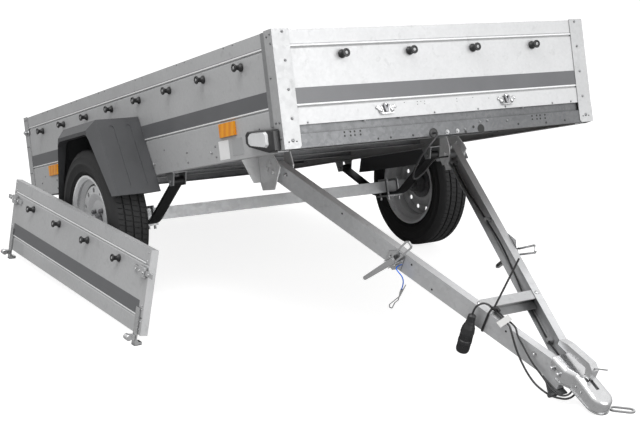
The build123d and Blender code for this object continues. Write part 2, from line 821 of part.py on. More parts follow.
cavity_front = nose_centre - socket_radius - 2 * coupler_sheet
with BuildPart() as coupler_body:
    with BuildSketch(Plane.XY.offset(rim_z)):
        with BuildLine():
            coupler_outline(0, coupler_rear)
        make_face()
    extrude(amount=nose_top - rim_z)
    with BuildSketch(Plane.XZ):
        with BuildLine():
            Polyline((nose_slope_x, nose_top), (nose_x + 1, nose_front_top), (nose_x + 1, nose_top + 1),
                     (nose_slope_x, nose_top + 1), close=True)
        make_face()
    extrude(amount=tail_half, both=True, mode=Mode.SUBTRACT)
    crown = coupler_body.faces().filter_by(lambda face: face.normal_at().Z > 0.9).edges()
    crown = crown.filter_by(lambda edge: abs(edge.center().Y) > 1 or edge.center().X > nose_x - 20)
    fillet(crown, crown_round)
    with BuildSketch(Plane.XY.offset(rim_z)):
        with BuildLine():
            coupler_outline(-rim_bead, coupler_skirt)
        make_face()
    extrude(amount=coupler_sheet)
    with BuildSketch(Plane.XY.offset(rim_z - 1)):
        with BuildLine():
            coupler_outline(coupler_sheet, coupler_rear - 1)
        make_face()
        with Locations((cavity_front, 0)):
            Rectangle(nose_x, 4 * nose_radius, align=(Align.MIN, Align.CENTER), mode=Mode.SUBTRACT)
    extrude(amount=arm_height / 2 + fit_gap - rim_z + 1, mode=Mode.SUBTRACT)
    with Locations((coupler_rear, 0, rim_z)):
        Box(nose_slope_x - coupler_rear, 2 * (arm_bend_y - arm_flange), nose_top - coupler_sheet - rim_z,
            align=(Align.MIN, Align.CENTER, Align.MIN), mode=Mode.SUBTRACT)
    with Locations((coupler_rear, 0, rim_z - 1)):
        Box(coupler_skirt - coupler_rear, 3 * tail_half, arm_height / 2 - rim_z + 1 - 2 * coupler_sheet,
            align=(Align.MIN, Align.CENTER, Align.MIN), mode=Mode.SUBTRACT)
    with Locations(((slot_front + slot_rear) / 2, 0, nose_top)):
        Box(slot_front - slot_rear, slot_width, 2 * (nose_top - arm_height / 2 + 8), mode=Mode.SUBTRACT)
    with BuildSketch(Plane.XY.offset(rim_z)):
        with Locations((nose_centre, 0)):
            Circle(socket_radius)
    extrude(amount=socket_depth, mode=Mode.SUBTRACT)
keep("coupler_body", coupler_body, drawbar_place)

lever_low = lever_top - lever_depth
lever_foot_x = lever_knee + lever_depth - slot_width / 2
with BuildPart() as coupler_lever:
    for inset, mode in ((0, Mode.ADD), (lever_sheet, Mode.SUBTRACT)):
        drop = 0 if mode == Mode.ADD else 12
        with BuildSketch(Plane.XZ):
            with BuildLine():
                Polyline((lever_rear + inset, lever_top - 20 - inset),
                         (lever_rear + 34, lever_top - 10 - inset), (lever_knee, lever_top - inset),
                         (lever_knee + lever_depth - inset, lever_low + 8),
                         (lever_knee + lever_depth - inset, nose_top + 4 - drop),
                         (lever_knee + 4, nose_top + 4 - drop), (lever_knee - 6, lever_low - drop),
                         (lever_rear + 34, lever_low - 14 - drop),
                         (lever_rear + inset, lever_low - 16 - drop),
                         close=True)
            make_face()
        extrude(amount=lever_width / 2 - inset, both=True, mode=mode)
    with Locations((lever_foot_x, 0, nose_top - 10)):
        Box(slot_width, slot_width - 2 * fit_gap, lever_low - nose_top + 14,
            align=(Align.CENTER, Align.CENTER, Align.MIN))
    with BuildSketch(Plane.XZ):
        with BuildLine():
            Line((lever_knee + 8, lever_top - 16), (lever_knee + 58, lever_top + 22))
        trace(line_width=4)
    extrude(amount=2, both=True)
keep("coupler_lever", coupler_lever, drawbar_place)

foot_bar_top = -arm_height / 2 - fit_gap
with BuildPart() as support_foot:
    with BuildSketch(at_y(-(arm_bend_y - foot_width / 2))):
        with BuildLine():
            Line((foot_bar_rear, foot_bar_top - foot_bar_sheet / 2),
                 (foot_bar_front, foot_bar_top - foot_bar_sheet / 2))
        trace(line_width=foot_bar_sheet)
        with BuildLine():
            FilletPolyline((foot_bar_rear + 12, foot_bar_top - foot_bar_sheet / 2), (foot_x, foot_z),
                           (foot_bar_front - 12, foot_bar_top - foot_bar_sheet / 2), radius=foot_bend)
        trace(line_width=foot_bar_sheet)
        with Locations((foot_x, foot_z)):
            Circle(foot_tip)
    extrude(amount=foot_width / 2, both=True)
keep("support_foot", support_foot, drawbar_place)

# ---- over-centre latches on the outer faces of the arms ----
# each is drawn in the plane of its arm's face: x along the arm, y outwards, z up, pin at the origin
def turned(along, across, angle):
    """Point of a latch's plane, measured along and across a direction at that angle."""
    turn = radians(angle)
    return along * cos(turn) - across * sin(turn), along * sin(turn) + across * cos(turn)


plate_shut = [(-35, -30), (0, -44), (30, -20), (30, 32), (-10, 32), (-35, 12)]
plate_open = [(-64, -6), (0, -30), (34, -20), (34, 44), (14, 60), (-64, 36)]
latch_places = {}
for side, hand, latch_x, bail_turn, bail_length, plate in (
        (1, "left", latch_left_x, bail_open, bail_reach_open, plate_open),
        (-1, "right", latch_right_x, bail_shut, bail_reach_shut, plate_shut)):
    arm_turn = -side * degrees(atan2(arm_slope, 1))
    latch_places[hand] = drawbar_place * Location((latch_x, side * (web_y(latch_x) + fit_gap), latch_z),
                                                  (0, 0, arm_turn))
    handle_low = pin_height - handle_depth / 2
    with BuildPart() as toggle_latch:
        with BuildSketch(at_y(0)):
            with BuildLine():
                Polyline(*plate, close=True)
            make_face()
            with Locations((18, 22), (-20, 2)):
                Circle(4, mode=Mode.SUBTRACT)
        extrude(amount=-side * latch_sheet)
        for across in (ear_gap, -ear_gap):
            with BuildSketch(at_y(0)):
                with BuildLine():
                    Polyline(turned(-14, across - 1.5, handle_turn), turned(24, across - 1.5, handle_turn),
                             turned(24, across + 1.5, handle_turn), turned(-14, across + 1.5, handle_turn),
                             close=True)
                make_face()
            extrude(amount=-side * (pin_height + 7))
        pin_x, pin_z = turned(0, 1, handle_turn)
        with BuildSketch(Plane(origin=(0, side * pin_height, 0), z_dir=(pin_x, 0, pin_z))):
            Circle(4)
        extrude(amount=ear_gap + 4, both=True)
        with BuildSketch(at_y(side * handle_low)):
            with BuildLine():
                Polyline(turned(-12, handle_root, handle_turn),
                         turned(handle_length - 5, handle_tip, handle_turn),
                         turned(handle_length, handle_tip - 4, handle_turn),
                         turned(handle_length, 4 - handle_tip, handle_turn),
                         turned(handle_length - 5, -handle_tip, handle_turn),
                         turned(-12, -handle_root, handle_turn), close=True)
            make_face()
        extrude(amount=-side * handle_depth)
        with BuildSketch(at_y(side * (handle_low - 1))):
            with BuildLine():
                Polyline(turned(8, handle_root - 2.5, handle_turn),
                         turned(handle_length - 6, handle_tip - 2.5, handle_turn),
                         turned(handle_length - 6, 2.5 - handle_tip, handle_turn),
                         turned(8, 2.5 - handle_root, handle_turn), close=True)
            make_face()
        extrude(amount=-side * (handle_depth - 1.5), mode=Mode.SUBTRACT)
        with BuildSketch(at_y(side * pin_height)):
            with BuildLine():
                FilletPolyline(turned(0, -bail_half, bail_turn),
                               turned(bail_length, -bail_half - 3, bail_turn),
                               turned(bail_length, bail_half + 3, bail_turn),
                               turned(0, bail_half, bail_turn), radius=bail_half)
            trace(line_width=bail_rod)
        extrude(amount=bail_rod / 2, both=True)
    keep(f"toggle_latch_{hand}", toggle_latch, latch_places[hand])


# ---- cables, ropes and what hangs on them ----
def cord(name, route, radius, place):
    """Round cord on straight runs joined by arcs, each arc sized by the shorter run beside it."""
    points = [Vector(*point) for point in route]
    bends = []
    for before, here, after in zip(points, points[1:], points[2:]):
        half_turn = radians((here - before).get_angle(after - here)) / 2
        bends.append(0.45 * min((here - before).length, (after - here).length) / tan(half_turn))
    with BuildPart() as made:
        with BuildLine() as path:
            FilletPolyline(*points, radius=bends)
        line = path.wire()
        with BuildSketch(Plane(origin=line @ 0, z_dir=line % 0)):
            Circle(radius)
        sweep()
    print(f"{name}: {line.length:.0f} mm long, bends {[round(bend) for bend in bends]}")
    keep(name, made, place)


arm_route = [beside_left_arm(x, z) for x, z in (
    (40, -20), (92, -24), (160, -25.5), (230, -24), (300, -17), (372, -10.5), (442, -6), (514, -1.5),
    (585, -1), (655, -8), (724, -15), (790, -24), (858, -25.5), (926, -23.5), (992, -25), (1042, -22),
    (1082, -15))]
arm_route += [(1116, 33, -8), (1150, 23, 2), (1182, 9, 14), (gland_rear - 22, -7, 32), (gland_rear, -7, 32)]
cord("arm_cable", arm_route, cable_radius, drawbar_place)

with BuildPart() as cable_clips:
    with Locations((gland_rear + gland_length / 2, -8, nose_top - coupler_sheet)):
        Box(gland_length, 20, 24, align=(Align.CENTER, Align.CENTER, Align.MAX))
    web_out = Vector(sin(atan2(arm_slope, 1)), cos(atan2(arm_slope, 1)), 0)
    for number in clipped_runs:
        start = Vector(*arm_route[number])
        end = Vector(*arm_route[number + 1])
        with BuildSketch(Plane(origin=(start + end) / 2, x_dir=web_out, z_dir=end - start)):
            with Locations((-clip_wall - cable_radius, 0)):
                Rectangle(clip_wall + cable_radius + cable_inset - arm_sheet,
                          2 * (cable_radius + clip_wall),
                          align=(Align.MIN, Align.CENTER))
            Circle(cable_radius + running_gap, mode=Mode.SUBTRACT)
        extrude(amount=clip_length / 2, both=True)
    start = Vector(*arm_route[0])
    with BuildSketch(Plane(origin=start, x_dir=web_out, z_dir=start - Vector(*arm_route[1]))):
        with Locations((-clip_wall - cable_radius, 0)):
            Rectangle(clip_wall + cable_radius + cable_inset - arm_sheet, 2 * (cable_radius + clip_wall),
                      align=(Align.MIN, Align.CENTER))
    extrude(amount=clip_length)
keep("cable_clips", cable_clips, drawbar_place)

# the plug's cable leaves the gland downwards, passes under the coupler's right edge, climbs the arm
# on the outside and crosses its top to the tie
plug_route = [(gland_rear + gland_length / 2, -4, nose_top - coupler_sheet - 24), (1243, -4, -4),
              (1256, -20, -22), (1253, -42, -36), (1234, -60, -44), (1208, -67, -55), (1176, -69, -63),
              (1144, -71, -66), (1114, -75, -59), (1086, -81, -44), (1061, -88, -25), (1040, -95, -4),
              (1024, -102, 18), (1008, -107, 39), (988, -104, 50), (961, -100, 44), (933, -100, 42),
              (906, -101, 44.5), (891, -115, 56), (882.5, -133, 61), (877.5, -150, 53), (876, -159.5, 36),
              (878.5, -160, 17)]
cord("plug_cable", plug_route, cable_radius, drawbar_place)

plug_profile = [(0, 0), (plug_radius - 2, 0), (plug_radius, 4), (plug_radius, 34), (plug_radius + 2, 36),
                (plug_radius + 2, 44), (plug_radius, 46), (plug_radius, 66), (plug_radius + 2, 72),
                (plug_radius, 90), (gland_radius + 1, 106), (gland_radius + 1, 110), (gland_radius, 112),
                (gland_radius - 1, 134), (cable_radius + 3, 139), (0, 139)]
plug_top = Vector(*plug_route[-1])
plug_axis = (Vector(*plug_route[-2]) - plug_top).normalized()
with BuildPart() as plug:
    with BuildSketch(Plane.XZ):
        with BuildLine():
            Polyline(*plug_profile, close=True)
        make_face()
    revolve(axis=Axis.Z)
plug_foot = plug_top - plug_axis * plug_profile[-1][1]
keep("plug", plug, drawbar_place * Plane(origin=plug_foot, z_dir=plug_axis).location)

rope_route = [(tie_x + tie_block, -92, 43.5), (940, -92, 43.5), (962, -88, 46), (984, -87, 48),
              (1004, -90, 50.5), (1026, -97, 39), (1050, -89, 23), (1075, -81, 4), (1101, -73, -13),
              (1130, -65, -25), (1160, -60.5, -33), (1188, -63, -38), (1214, -64, -37), (1236, -56, -34),
              (1248, -38, -25), (1244, -23, -8), (1231, -24, 15), (1231, -24, arm_height / 2 + fit_gap)]
cord("safety_rope", rope_route, rope_radius, drawbar_place)

# a strap round the right arm that holds the cable and the rope's crimped eye
web_rear = -web_y(tie_x - tie_width / 2) - 0.3
web_front = -web_y(tie_x + tie_width / 2) + arm_flange + 0.3
tie_inner = [(web_rear, -arm_height / 2 - 0.3), (web_rear, arm_height / 2 + 2), (web_rear + 6, tie_top),
             (web_front - 4, tie_top), (web_front, arm_height / 2 + 2), (web_front, -arm_height / 2 - 0.3)]
tail_from = Vector(tie_x, web_rear + 14, tie_top + 2)
tail_way = Vector(-53, 85, 148)
with BuildPart() as cable_tie:
    with BuildSketch(Plane.YZ.offset(tie_x - tie_width / 2)):
        with BuildLine():
            Polyline(*tie_inner, close=True)
        make_face()
        offset(amount=tie_sheet, kind=Kind.INTERSECTION)
        with BuildLine():
            Polyline(*tie_inner, close=True)
        make_face(mode=Mode.SUBTRACT)
    extrude(amount=tie_width)
    with Locations((tie_x, -92, tie_top + 0.7)):
        Box(2 * tie_block, 10, 13, align=(Align.CENTER, Align.CENTER, Align.MAX))
    with Locations((tie_x, web_rear + 14, tie_top)):
        Box(tie_width + 3, 12, 8, align=(Align.CENTER, Align.CENTER, Align.MIN))
    with BuildSketch(Plane(origin=tail_from, x_dir=(1, 0, 0.36), z_dir=tail_way)):
        Rectangle(tie_width, tie_sheet)
    extrude(amount=tie_tail)
keep("cable_tie", cable_tie, drawbar_place)

# ---- snap hook on a short rope from inside the coupler, lying on the floor ----
hook_route = [(1279, 14, arm_height / 2 + fit_gap), (1279, 14, 15), (1284, 16, -6), (1298, 22, -20),
              (1315, 31, -20.5), (1332, 37, -14)]
cord("hook_rope", hook_route, rope_radius, drawbar_place)

rope_end = (drawbar_place * Location(hook_route[-1])).position
rope_way = rope_end - (drawbar_place * Location(hook_route[-2])).position
hook_way = Vector(1, 0.9, 0).normalized()
hook_near = Vector(rope_end.X, rope_end.Y, 0) + hook_way * 11
with BuildPart() as snap_hook:
    with BuildSketch(Plane(origin=hook_near, x_dir=hook_way, z_dir=(0, 0, 1))):
        with Locations((hook_length / 2, 0)):
            SlotOverall(hook_length, hook_width)
            SlotOverall(hook_length - 2 * hook_rod, hook_width - 2 * hook_rod, mode=Mode.SUBTRACT)
    extrude(amount=hook_rod)
    with BuildSketch(Plane(origin=rope_end, z_dir=rope_way)):
        Circle(rope_radius + 1.4)
    extrude(amount=12)
keep("snap_hook", snap_hook, Location((0, 0, 0)))

# ---- lanyard of the right-hand latch, with its spring clip ----
lanyard_route = [(20, -latch_sheet, -12), (20, -23, -12), (38, -30, -14), (56, -22, -26), (65, -15, -50),
                 (65, -15, -76)]
cord("lanyard", lanyard_route, lanyard_radius, latch_places["right"])
with BuildPart() as lanyard_clip:
    with BuildSketch(Plane(origin=lanyard_route[-1], z_dir=(0, 0, -1))):
        Circle(lanyard_radius + 1.5)
    extrude(amount=16)
    with BuildSketch(at_y(-15)):
        with BuildLine():
            FilletPolyline((74, -52), (67, -104), (40, -160), (44, -170), (54, -166), (57, -140),
                           (66, -122), (64, -90), radius=4)
        trace(line_width=3)
    extrude(amount=1.5, both=True)
keep("lanyard_clip", lanyard_clip, latch_places["right"])

# ---- wiring that hangs in a loop from the front member to the left pivot bracket ----
loom_route = [(wall_x, -75, 9), (22, -75, 9), (36, -92, -5), (34, -120, -28), (8, -138, -57),
              (-32, -137, -88), (-74, -123, -113), (-116, -98, -136), (-180, -30, -133),
              (-240, 48, -113), (-300, 112, -94), (-365, 180, -79), (-428, 246, -68), (pivot_x + 18, 300, -62),
              (pivot_x + 18, boss_y - boss_length / 2 - 1 - cheek_sheet, -62)]
cord("loom_cable", loom_route, loom_radius, bed_place)

# ---- tailgate, standing on its hooks and leaning on the mudguard ----
lean = radians(gate_lean)
gate_height = panel_top - panel_bottom
gate_top_inset = (gate_height + hook_drop) * sin(lean) + gate_return * cos(lean)
gate_y = -(guard_outer + gate_clearance + gate_top_inset)
gate_origin = Vector(gate_x, gate_y, 0)
gate_plane = Plane(origin=gate_origin, x_dir=(1, 0, 0), z_dir=(0, sin(lean), cos(lean)))
gate_place = gate_plane.location
gate_base = hook_drop
with BuildPart() as tailgate_panel:
    with BuildSketch(Plane.YZ):
        with BuildLine():
            Polyline(*[(depth, height - panel_bottom + gate_base) for depth, height
                       in ribbed_profile(panel_bottom, panel_top, wall_grooves)], close=True)
        make_face()
    extrude(amount=gate_width / 2 - panel_skin, both=True)
    for end in (1, -1):
        with Locations((end * (gate_width / 2 - panel_skin / 2), 0, gate_base + gate_height / 2)):
            Box(panel_skin, gate_return, gate_height, align=(Align.CENTER, Align.MIN, Align.CENTER))
keep("tailgate_panel", tailgate_panel, gate_place)

gate_knob_pitch = (gate_width - 2 * gate_knob_inset) / (front_knob_count - 1)
with BuildPart() as tailgate_knobs:
    with Locations(*[Location((gate_knob_inset - gate_width / 2 + number * gate_knob_pitch, 0,
                               gate_base + knob_row - panel_bottom), (90, 0, 0))
                     for number in range(front_knob_count)]):
        add(knob.part)
keep("tailgate_knobs", tailgate_knobs, gate_place)

with BuildPart() as tailgate_hooks:
    for end in (1, -1):
        hook_x = end * (gate_width / 2 - hook_inset)
        with BuildSketch(Plane.YZ.offset(hook_x)):
            with BuildLine():
                Polyline((0, hook_top), (-hook_sheet, hook_top),
                         (-hook_sheet, -hook_sheet * tan(lean)), (20, 20 * tan(lean)), (20, 14),
                         (8, 14), (0, 22), close=True)
            make_face()
        extrude(amount=14, both=True)
keep("tailgate_hooks", tailgate_hooks, gate_place)

with BuildPart() as tailgate_latches:
    for end in (1, -1):
        with Locations((end * (gate_width / 2 + gate_latch_reach), 0, gate_latch_z)):
            Box(gate_latch_length, gate_latch_sheet, gate_latch_height,
                align=(Align.MAX if end > 0 else Align.MIN, Align.MAX, Align.CENTER))
        with Locations((end * (gate_width / 2 - hook_inset), 0, gate_latch_z)):
            Box(44, gate_latch_sheet + 5, 2 * gate_latch_height,
                align=(Align.CENTER, Align.MAX, Align.CENTER))
keep("tailgate_latches", tailgate_latches, gate_place)

# ---- origin at the bottom centre of the whole parked trailer ----
extent = Compound(list(pieces.values())).bounding_box()
centred = Location((-extent.center().X, -extent.center().Y, -extent.min.Z))

os.makedirs("parts", exist_ok=True)
for name, piece in pieces.items():
    placed = centred * piece
    placed.label = name
    export_step(placed, f"parts/{name}.step")
print("parked: bed", round(bed_tilt, 2), "drawbar", round(drawbar_pitch, 2), "extent", extent)
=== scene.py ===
"""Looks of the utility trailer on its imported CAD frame: camera, light, materials and detail.

Sizes are in millimetres in the frames of the bed, the drawbar and the tailgate. The functions below
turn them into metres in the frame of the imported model, called the row frame here.
"""
import math

import bmesh
import bpy
from mathutils import Matrix, Vector


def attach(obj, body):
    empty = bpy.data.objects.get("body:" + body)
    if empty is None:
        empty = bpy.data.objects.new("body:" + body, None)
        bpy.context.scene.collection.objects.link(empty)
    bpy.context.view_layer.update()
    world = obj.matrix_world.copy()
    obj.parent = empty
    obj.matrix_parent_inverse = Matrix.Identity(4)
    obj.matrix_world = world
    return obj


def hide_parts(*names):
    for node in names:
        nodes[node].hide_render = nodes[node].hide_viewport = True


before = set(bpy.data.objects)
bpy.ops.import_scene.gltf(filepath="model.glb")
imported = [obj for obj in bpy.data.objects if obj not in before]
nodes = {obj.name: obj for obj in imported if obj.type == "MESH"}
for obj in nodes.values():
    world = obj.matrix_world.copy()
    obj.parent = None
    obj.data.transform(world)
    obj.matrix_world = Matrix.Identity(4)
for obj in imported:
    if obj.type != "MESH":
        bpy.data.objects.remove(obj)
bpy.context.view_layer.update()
scene = bpy.context.scene
scene.view_settings.view_transform = "Standard"

# ---- the three frames of part.py, and the shift that centres the whole ----
TILT = math.radians(14.312282734)
PITCH = math.radians(23.943741247)
LEAN = math.radians(9.2)
CENTRED = Vector((-0.374377983, 0.047054792, 0.0))
BED_ORIGIN = Vector((1.177998289, 0.0, 0.733341665)) + CENTRED
GATE_ORIGIN = Vector((0.03, -0.950029, 0.0)) + CENTRED

BOX_HALF = 655
WALL = 652
WALL_X = -3
BOX_LENGTH = 2400
STRIPE = (134.8, 188.6)
AXLE_X = -1254
AXLE_Z = -150
HUB_Y = 767
ARM_SLOPE = (409 - 50) / (1140 + 15)
ARM_TURN = math.atan(ARM_SLOPE)
GATE_HALF = 683
GATE_RISE = 41 - 72.8


def bed_way(x, y, z):
    """A direction of the bed's frame in the row frame."""
    return Vector((x * math.cos(TILT) - z * math.sin(TILT), y, x * math.sin(TILT) + z * math.cos(TILT)))


def bed(x, y, z):
    """A point of the bed's frame in the row frame."""
    return BED_ORIGIN + bed_way(x, y, z) / 1000


PIVOT = bed(-500, 0, -52)


def bar_way(x, y, z):
    """A direction of the drawbar's frame in the row frame."""
    return Vector((x * math.cos(PITCH) + z * math.sin(PITCH), y, z * math.cos(PITCH) - x * math.sin(PITCH)))


def bar(x, y, z):
    """A point of the drawbar's frame in the row frame."""
    return PIVOT + bar_way(x, y, z) / 1000


def gate_way(x, y, z):
    """A direction of the tailgate's frame in the row frame."""
    return Vector((x, y * math.cos(LEAN) + z * math.sin(LEAN), z * math.cos(LEAN) - y * math.sin(LEAN)))


def gate(x, y, z):
    """A point of the tailgate's frame in the row frame."""
    return GATE_ORIGIN + gate_way(x, y, z) / 1000


def web_y(x):
    """Distance of an arm's outer face from the middle plane at x along the drawbar."""
    return max(409 - ARM_SLOPE * (x + 15), 50)


def placed(origin, out, along):
    """Matrix at origin whose z points out and whose x points along."""
    side = out.cross(along)
    made = Matrix((along, side, out)).transposed().to_4x4()
    made.translation = origin
    return made


def on_wall(side, x, z, stand=0.0):
    """Place on a side wall's outer face: x runs along it, y up, z out."""
    return placed(bed(x, side * (WALL + stand), z), bed_way(0, side, 0), bed_way(-side, 0, 0))


def on_front(y, z, x=WALL_X):
    """Place on a face turned to the front: x runs to the left, y up, z forwards."""
    return placed(bed(x, y, z), bed_way(1, 0, 0), bed_way(0, 1, 0))


def on_gate(x, z, stand=0.0):
    """Place on the tailgate's outer face; z counts as on the walls."""
    return placed(gate(x, -stand, z + GATE_RISE), gate_way(0, -1, 0), gate_way(1, 0, 0))


def on_arm(side, x, z, stand=0.0):
    """Place on an arm's outer face: y up, z out."""
    sine, cosine = math.sin(ARM_TURN), math.cos(ARM_TURN)
    out = bar_way(sine, side * cosine, 0)
    return placed(bar(x, side * web_y(x), z) + out * stand / 1000, out,
                  bar_way(-side * cosine, sine, 0))


def on_bar(x, y, z, out=(0, 0, 1), along=(1, 0, 0)):
    """Place in the drawbar's frame, turned up unless said otherwise."""
    return placed(bar(x, y, z), bar_way(*out), bar_way(*along))


# ---- camera: its place and directions in the bed's frame ----
FOCAL_LENGTH = 68.389
SENSOR_WIDTH = 36
CAMERA_PLACE = (3234.503, -2560.598, -150.173)
CAMERA_RIGHT = (0.524664, 0.843231, -0.117003)
CAMERA_DOWN = (-0.048566, -0.107567, -0.993011)
CAMERA_AHEAD = (-0.849923, 0.526679, -0.015484)
camera_data = bpy.data.cameras.new("camera")
camera_data.lens = FOCAL_LENGTH
camera_data.sensor_width = SENSOR_WIDTH
camera_data.clip_start = 0.1
camera_data.clip_end = 80
camera = bpy.data.objects.new("camera", camera_data)
scene.collection.objects.link(camera)
scene.camera = camera
turn = Matrix((bed_way(*CAMERA_RIGHT), -bed_way(*CAMERA_DOWN), -bed_way(*CAMERA_AHEAD)))
turn = turn.transposed().to_4x4()
camera.matrix_world = Matrix.Translation(bed(*CAMERA_PLACE)) @ turn


# ---- material helpers ----
def wire(tree, kind, inputs=None, **settings):
    """Adds a shader node; an input is a number, a colour or another node's output."""
    made = tree.nodes.new("ShaderNode" + kind)
    for key, value in settings.items():
        setattr(made, key, value)
    for key, value in (inputs or {}).items():
        if isinstance(value, bpy.types.NodeSocket):
            tree.links.new(value, made.inputs[key])
        else:
            made.inputs[key].default_value = value
    return made


def new_material(name, **sockets):
    """A material with its Principled shader set, and its node tree."""
    made = bpy.data.materials.new(name)
    made.use_nodes = True
    shader = made.node_tree.nodes["Principled BSDF"]
    for key, value in sockets.items():
        shader.inputs[key.replace("_", " ")].default_value = value
    return made, made.node_tree, shader


def place_of(tree, scale=(1, 1, 1)):
    """Object coordinates, stretched."""
    where = wire(tree, "TexCoord").outputs["Object"]
    return wire(tree, "Mapping", {"Vector": where, "Scale": scale}).outputs[0]


def ramp(tree, factor, *stops):
    """A colour ramp of (position, grey or colour)."""
    made = wire(tree, "ValToRGB", {"Fac": factor})
    elements = made.color_ramp.elements
    while len(elements) < len(stops):
        elements.new(0.5)
    for element, (position, colour) in zip(elements, stops):
        element.position = position
        element.color = (colour, colour, colour, 1) if isinstance(colour, float) else (*colour, 1)
    return made.outputs[0]


def bump(tree, shader, height, strength, distance):
    """Links a height to the shader's normal."""
    made = wire(tree, "Bump", {"Height": height, "Strength": strength, "Distance": distance})
    tree.links.new(made.outputs[0], shader.inputs["Normal"])


def mixed(tree, factor, one, other, blend="MIX"):
    """Mix of two colours."""
    made = wire(tree, "Mix", data_type="RGBA", blend_type=blend)
    for key, value in ((0, factor), (6, one), (7, other)):
        if isinstance(value, bpy.types.NodeSocket):
            tree.links.new(value, made.inputs[key])
        else:
            made.inputs[key].default_value = value
    return made.outputs[2]


def galvanised(name, pale, dark, spangle, rough, metal, smudge=0.86, ripple=0.10, shade_reach=0.012):
    """Zinc-coated steel: crystals of differing brightness and gloss, stains, rubbed spots, ripple, and
    painted shade in hollows.

    Crystals are counted by the metre; smudge is how dark stains get; the last argument sets how far the
    painted shade in hollows reaches.
    """
    made, tree, shader = new_material(name, Metallic=metal)
    where = place_of(tree)
    crystals = wire(tree, "TexVoronoi", {"Vector": where, "Scale": spangle, "Randomness": 1.0})
    grey = wire(tree, "RGBToBW", {"Color": crystals.outputs["Color"]}).outputs[0]
    cloud = wire(tree, "TexNoise", {"Vector": where, "Scale": 4.0, "Detail": 5.0, "Roughness": 0.62})
    spots = wire(tree, "TexNoise", {"Vector": where, "Scale": 26.0, "Detail": 3.0, "Roughness": 0.7})
    wave = wire(tree, "TexNoise", {"Vector": where, "Scale": 9.0, "Detail": 1.0})
    tint = mixed(tree, grey, (*pale, 1), (*dark, 1))
    stain = ramp(tree, cloud.outputs["Fac"], (0.32, smudge), (0.62, 1.0))
    rubbed = ramp(tree, spots.outputs["Fac"], (0.30, 0.90), (0.40, 1.0), (0.70, 1.0), (0.80, 0.93))
    colour = mixed(tree, 1.0, tint, stain, "MULTIPLY")
    colour = mixed(tree, 1.0, colour, rubbed, "MULTIPLY")
    # ambient occlusion darkens the colour in hollows, corners and between parts: painted shade
    occlusion = wire(tree, "AmbientOcclusion", {"Distance": shade_reach}, samples=6)
    painted_shade = ramp(tree, occlusion.outputs["AO"], (0.25, 0.30), (0.85, 1.0))
    colour = mixed(tree, 1.0, colour, painted_shade, "MULTIPLY")
    tree.links.new(colour, shader.inputs["Base Color"])
    patchy = wire(tree, "Math", {0: grey, 1: cloud.outputs["Fac"]}, operation="ADD")
    gloss = wire(tree, "MapRange", {"Value": patchy.outputs[0], "From Max": 2.0,
                                    "To Min": rough - 0.10, "To Max": rough + 0.12})
    tree.links.new(gloss.outputs[0], shader.inputs["Roughness"])
    relief = wire(tree, "Math", {0: wave.outputs["Fac"], 1: grey}, operation="ADD")
    bump(tree, shader, relief.outputs[0], ripple, 0.0012)
    return made


def plastic(name, colour, rough, grain, grain_scale, scuff=0.0, metal=0.0):
    """Moulded plastic, rubber or paint with a fine grain, dust and slightly uneven gloss."""
    made, tree, shader = new_material(name, Metallic=metal)
    where = place_of(tree)
    cloud = wire(tree, "TexNoise", {"Vector": where, "Scale": 9.0, "Detail": 5.0, "Roughness": 0.65})
    worn = tuple(min(1.0, c * (1.25 + scuff) + 0.004 + scuff * 0.02) for c in colour)
    tint = mixed(tree, cloud.outputs["Fac"], (*colour, 1), (*worn, 1))
    tree.links.new(tint, shader.inputs["Base Color"])
    gloss = wire(tree, "MapRange", {"Value": cloud.outputs["Fac"], "To Min": rough - 0.07,
                                    "To Max": rough + 0.09})
    tree.links.new(gloss.outputs[0], shader.inputs["Roughness"])
    pits = wire(tree, "TexNoise", {"Vector": where, "Scale": grain_scale, "Detail": 2.0})
    bump(tree, shader, pits.outputs["Fac"], grain, 0.0006)
    return made


def ribbed_lens(name, colour, deep, rib_scale, rough):
    """Moulded lamp plastic with vertical ribs of a deeper colour and small prisms."""
    made, tree, shader = new_material(name, Roughness=rough)
    where = place_of(tree)
    ribs = wire(tree, "TexWave", {"Vector": where, "Scale": rib_scale, "Distortion": 0.0},
                bands_direction="X")
    cells = wire(tree, "TexVoronoi", {"Vector": where, "Scale": 150.0, "Randomness": 0.0})
    tint = mixed(tree, ribs.outputs["Fac"], (*deep, 1), (*colour, 1))
    tree.links.new(tint, shader.inputs["Base Color"])
    shader.inputs["Coat Weight"].default_value = 0.15
    shader.inputs["Coat Roughness"].default_value = 0.08
    bump(tree, shader, cells.outputs["Distance"], 0.5, 0.001)
    return made


# each galvanised finish below carries painted shade in its hollows
sheet_zinc = galvanised("sheet_zinc", (0.58, 0.584, 0.59), (0.55, 0.554, 0.56),
                        spangle=120.0, rough=0.46, metal=0.35, smudge=0.93, ripple=0.04)
post_zinc = galvanised("post_zinc", (0.54, 0.545, 0.55), (0.49, 0.494, 0.50),
                       spangle=90.0, rough=0.46, metal=0.35, smudge=0.91, ripple=0.05)
thick_zinc = galvanised("thick_zinc", (0.72, 0.725, 0.735), (0.66, 0.665, 0.675),
                        spangle=80.0, rough=0.40, metal=0.50, smudge=0.86, ripple=0.05)
dark_zinc = galvanised("dark_zinc", (0.25, 0.254, 0.26), (0.21, 0.214, 0.22),
                       spangle=100.0, rough=0.40, metal=0.55, smudge=0.88, ripple=0.05)
bright_zinc = galvanised("bright_zinc", (0.66, 0.663, 0.67), (0.63, 0.633, 0.64),
                         spangle=70.0, rough=0.22, metal=0.90, smudge=0.92, ripple=0.004, shade_reach=0.010)
# pale zinc: painted highlight on the panel swages and painted light on the pivot brackets in the bed's shadow
painted_light_zinc = galvanised("painted_light_zinc", (0.86, 0.865, 0.87), (0.80, 0.805, 0.81),
                       spangle=90.0, rough=0.34, metal=0.2, smudge=0.95, ripple=0.01, shade_reach=0.001)
side_zinc = galvanised("side_zinc", (0.36, 0.364, 0.37), (0.32, 0.324, 0.33),
                       spangle=90.0, rough=0.36, metal=0.5, smudge=0.9, ripple=0.05)
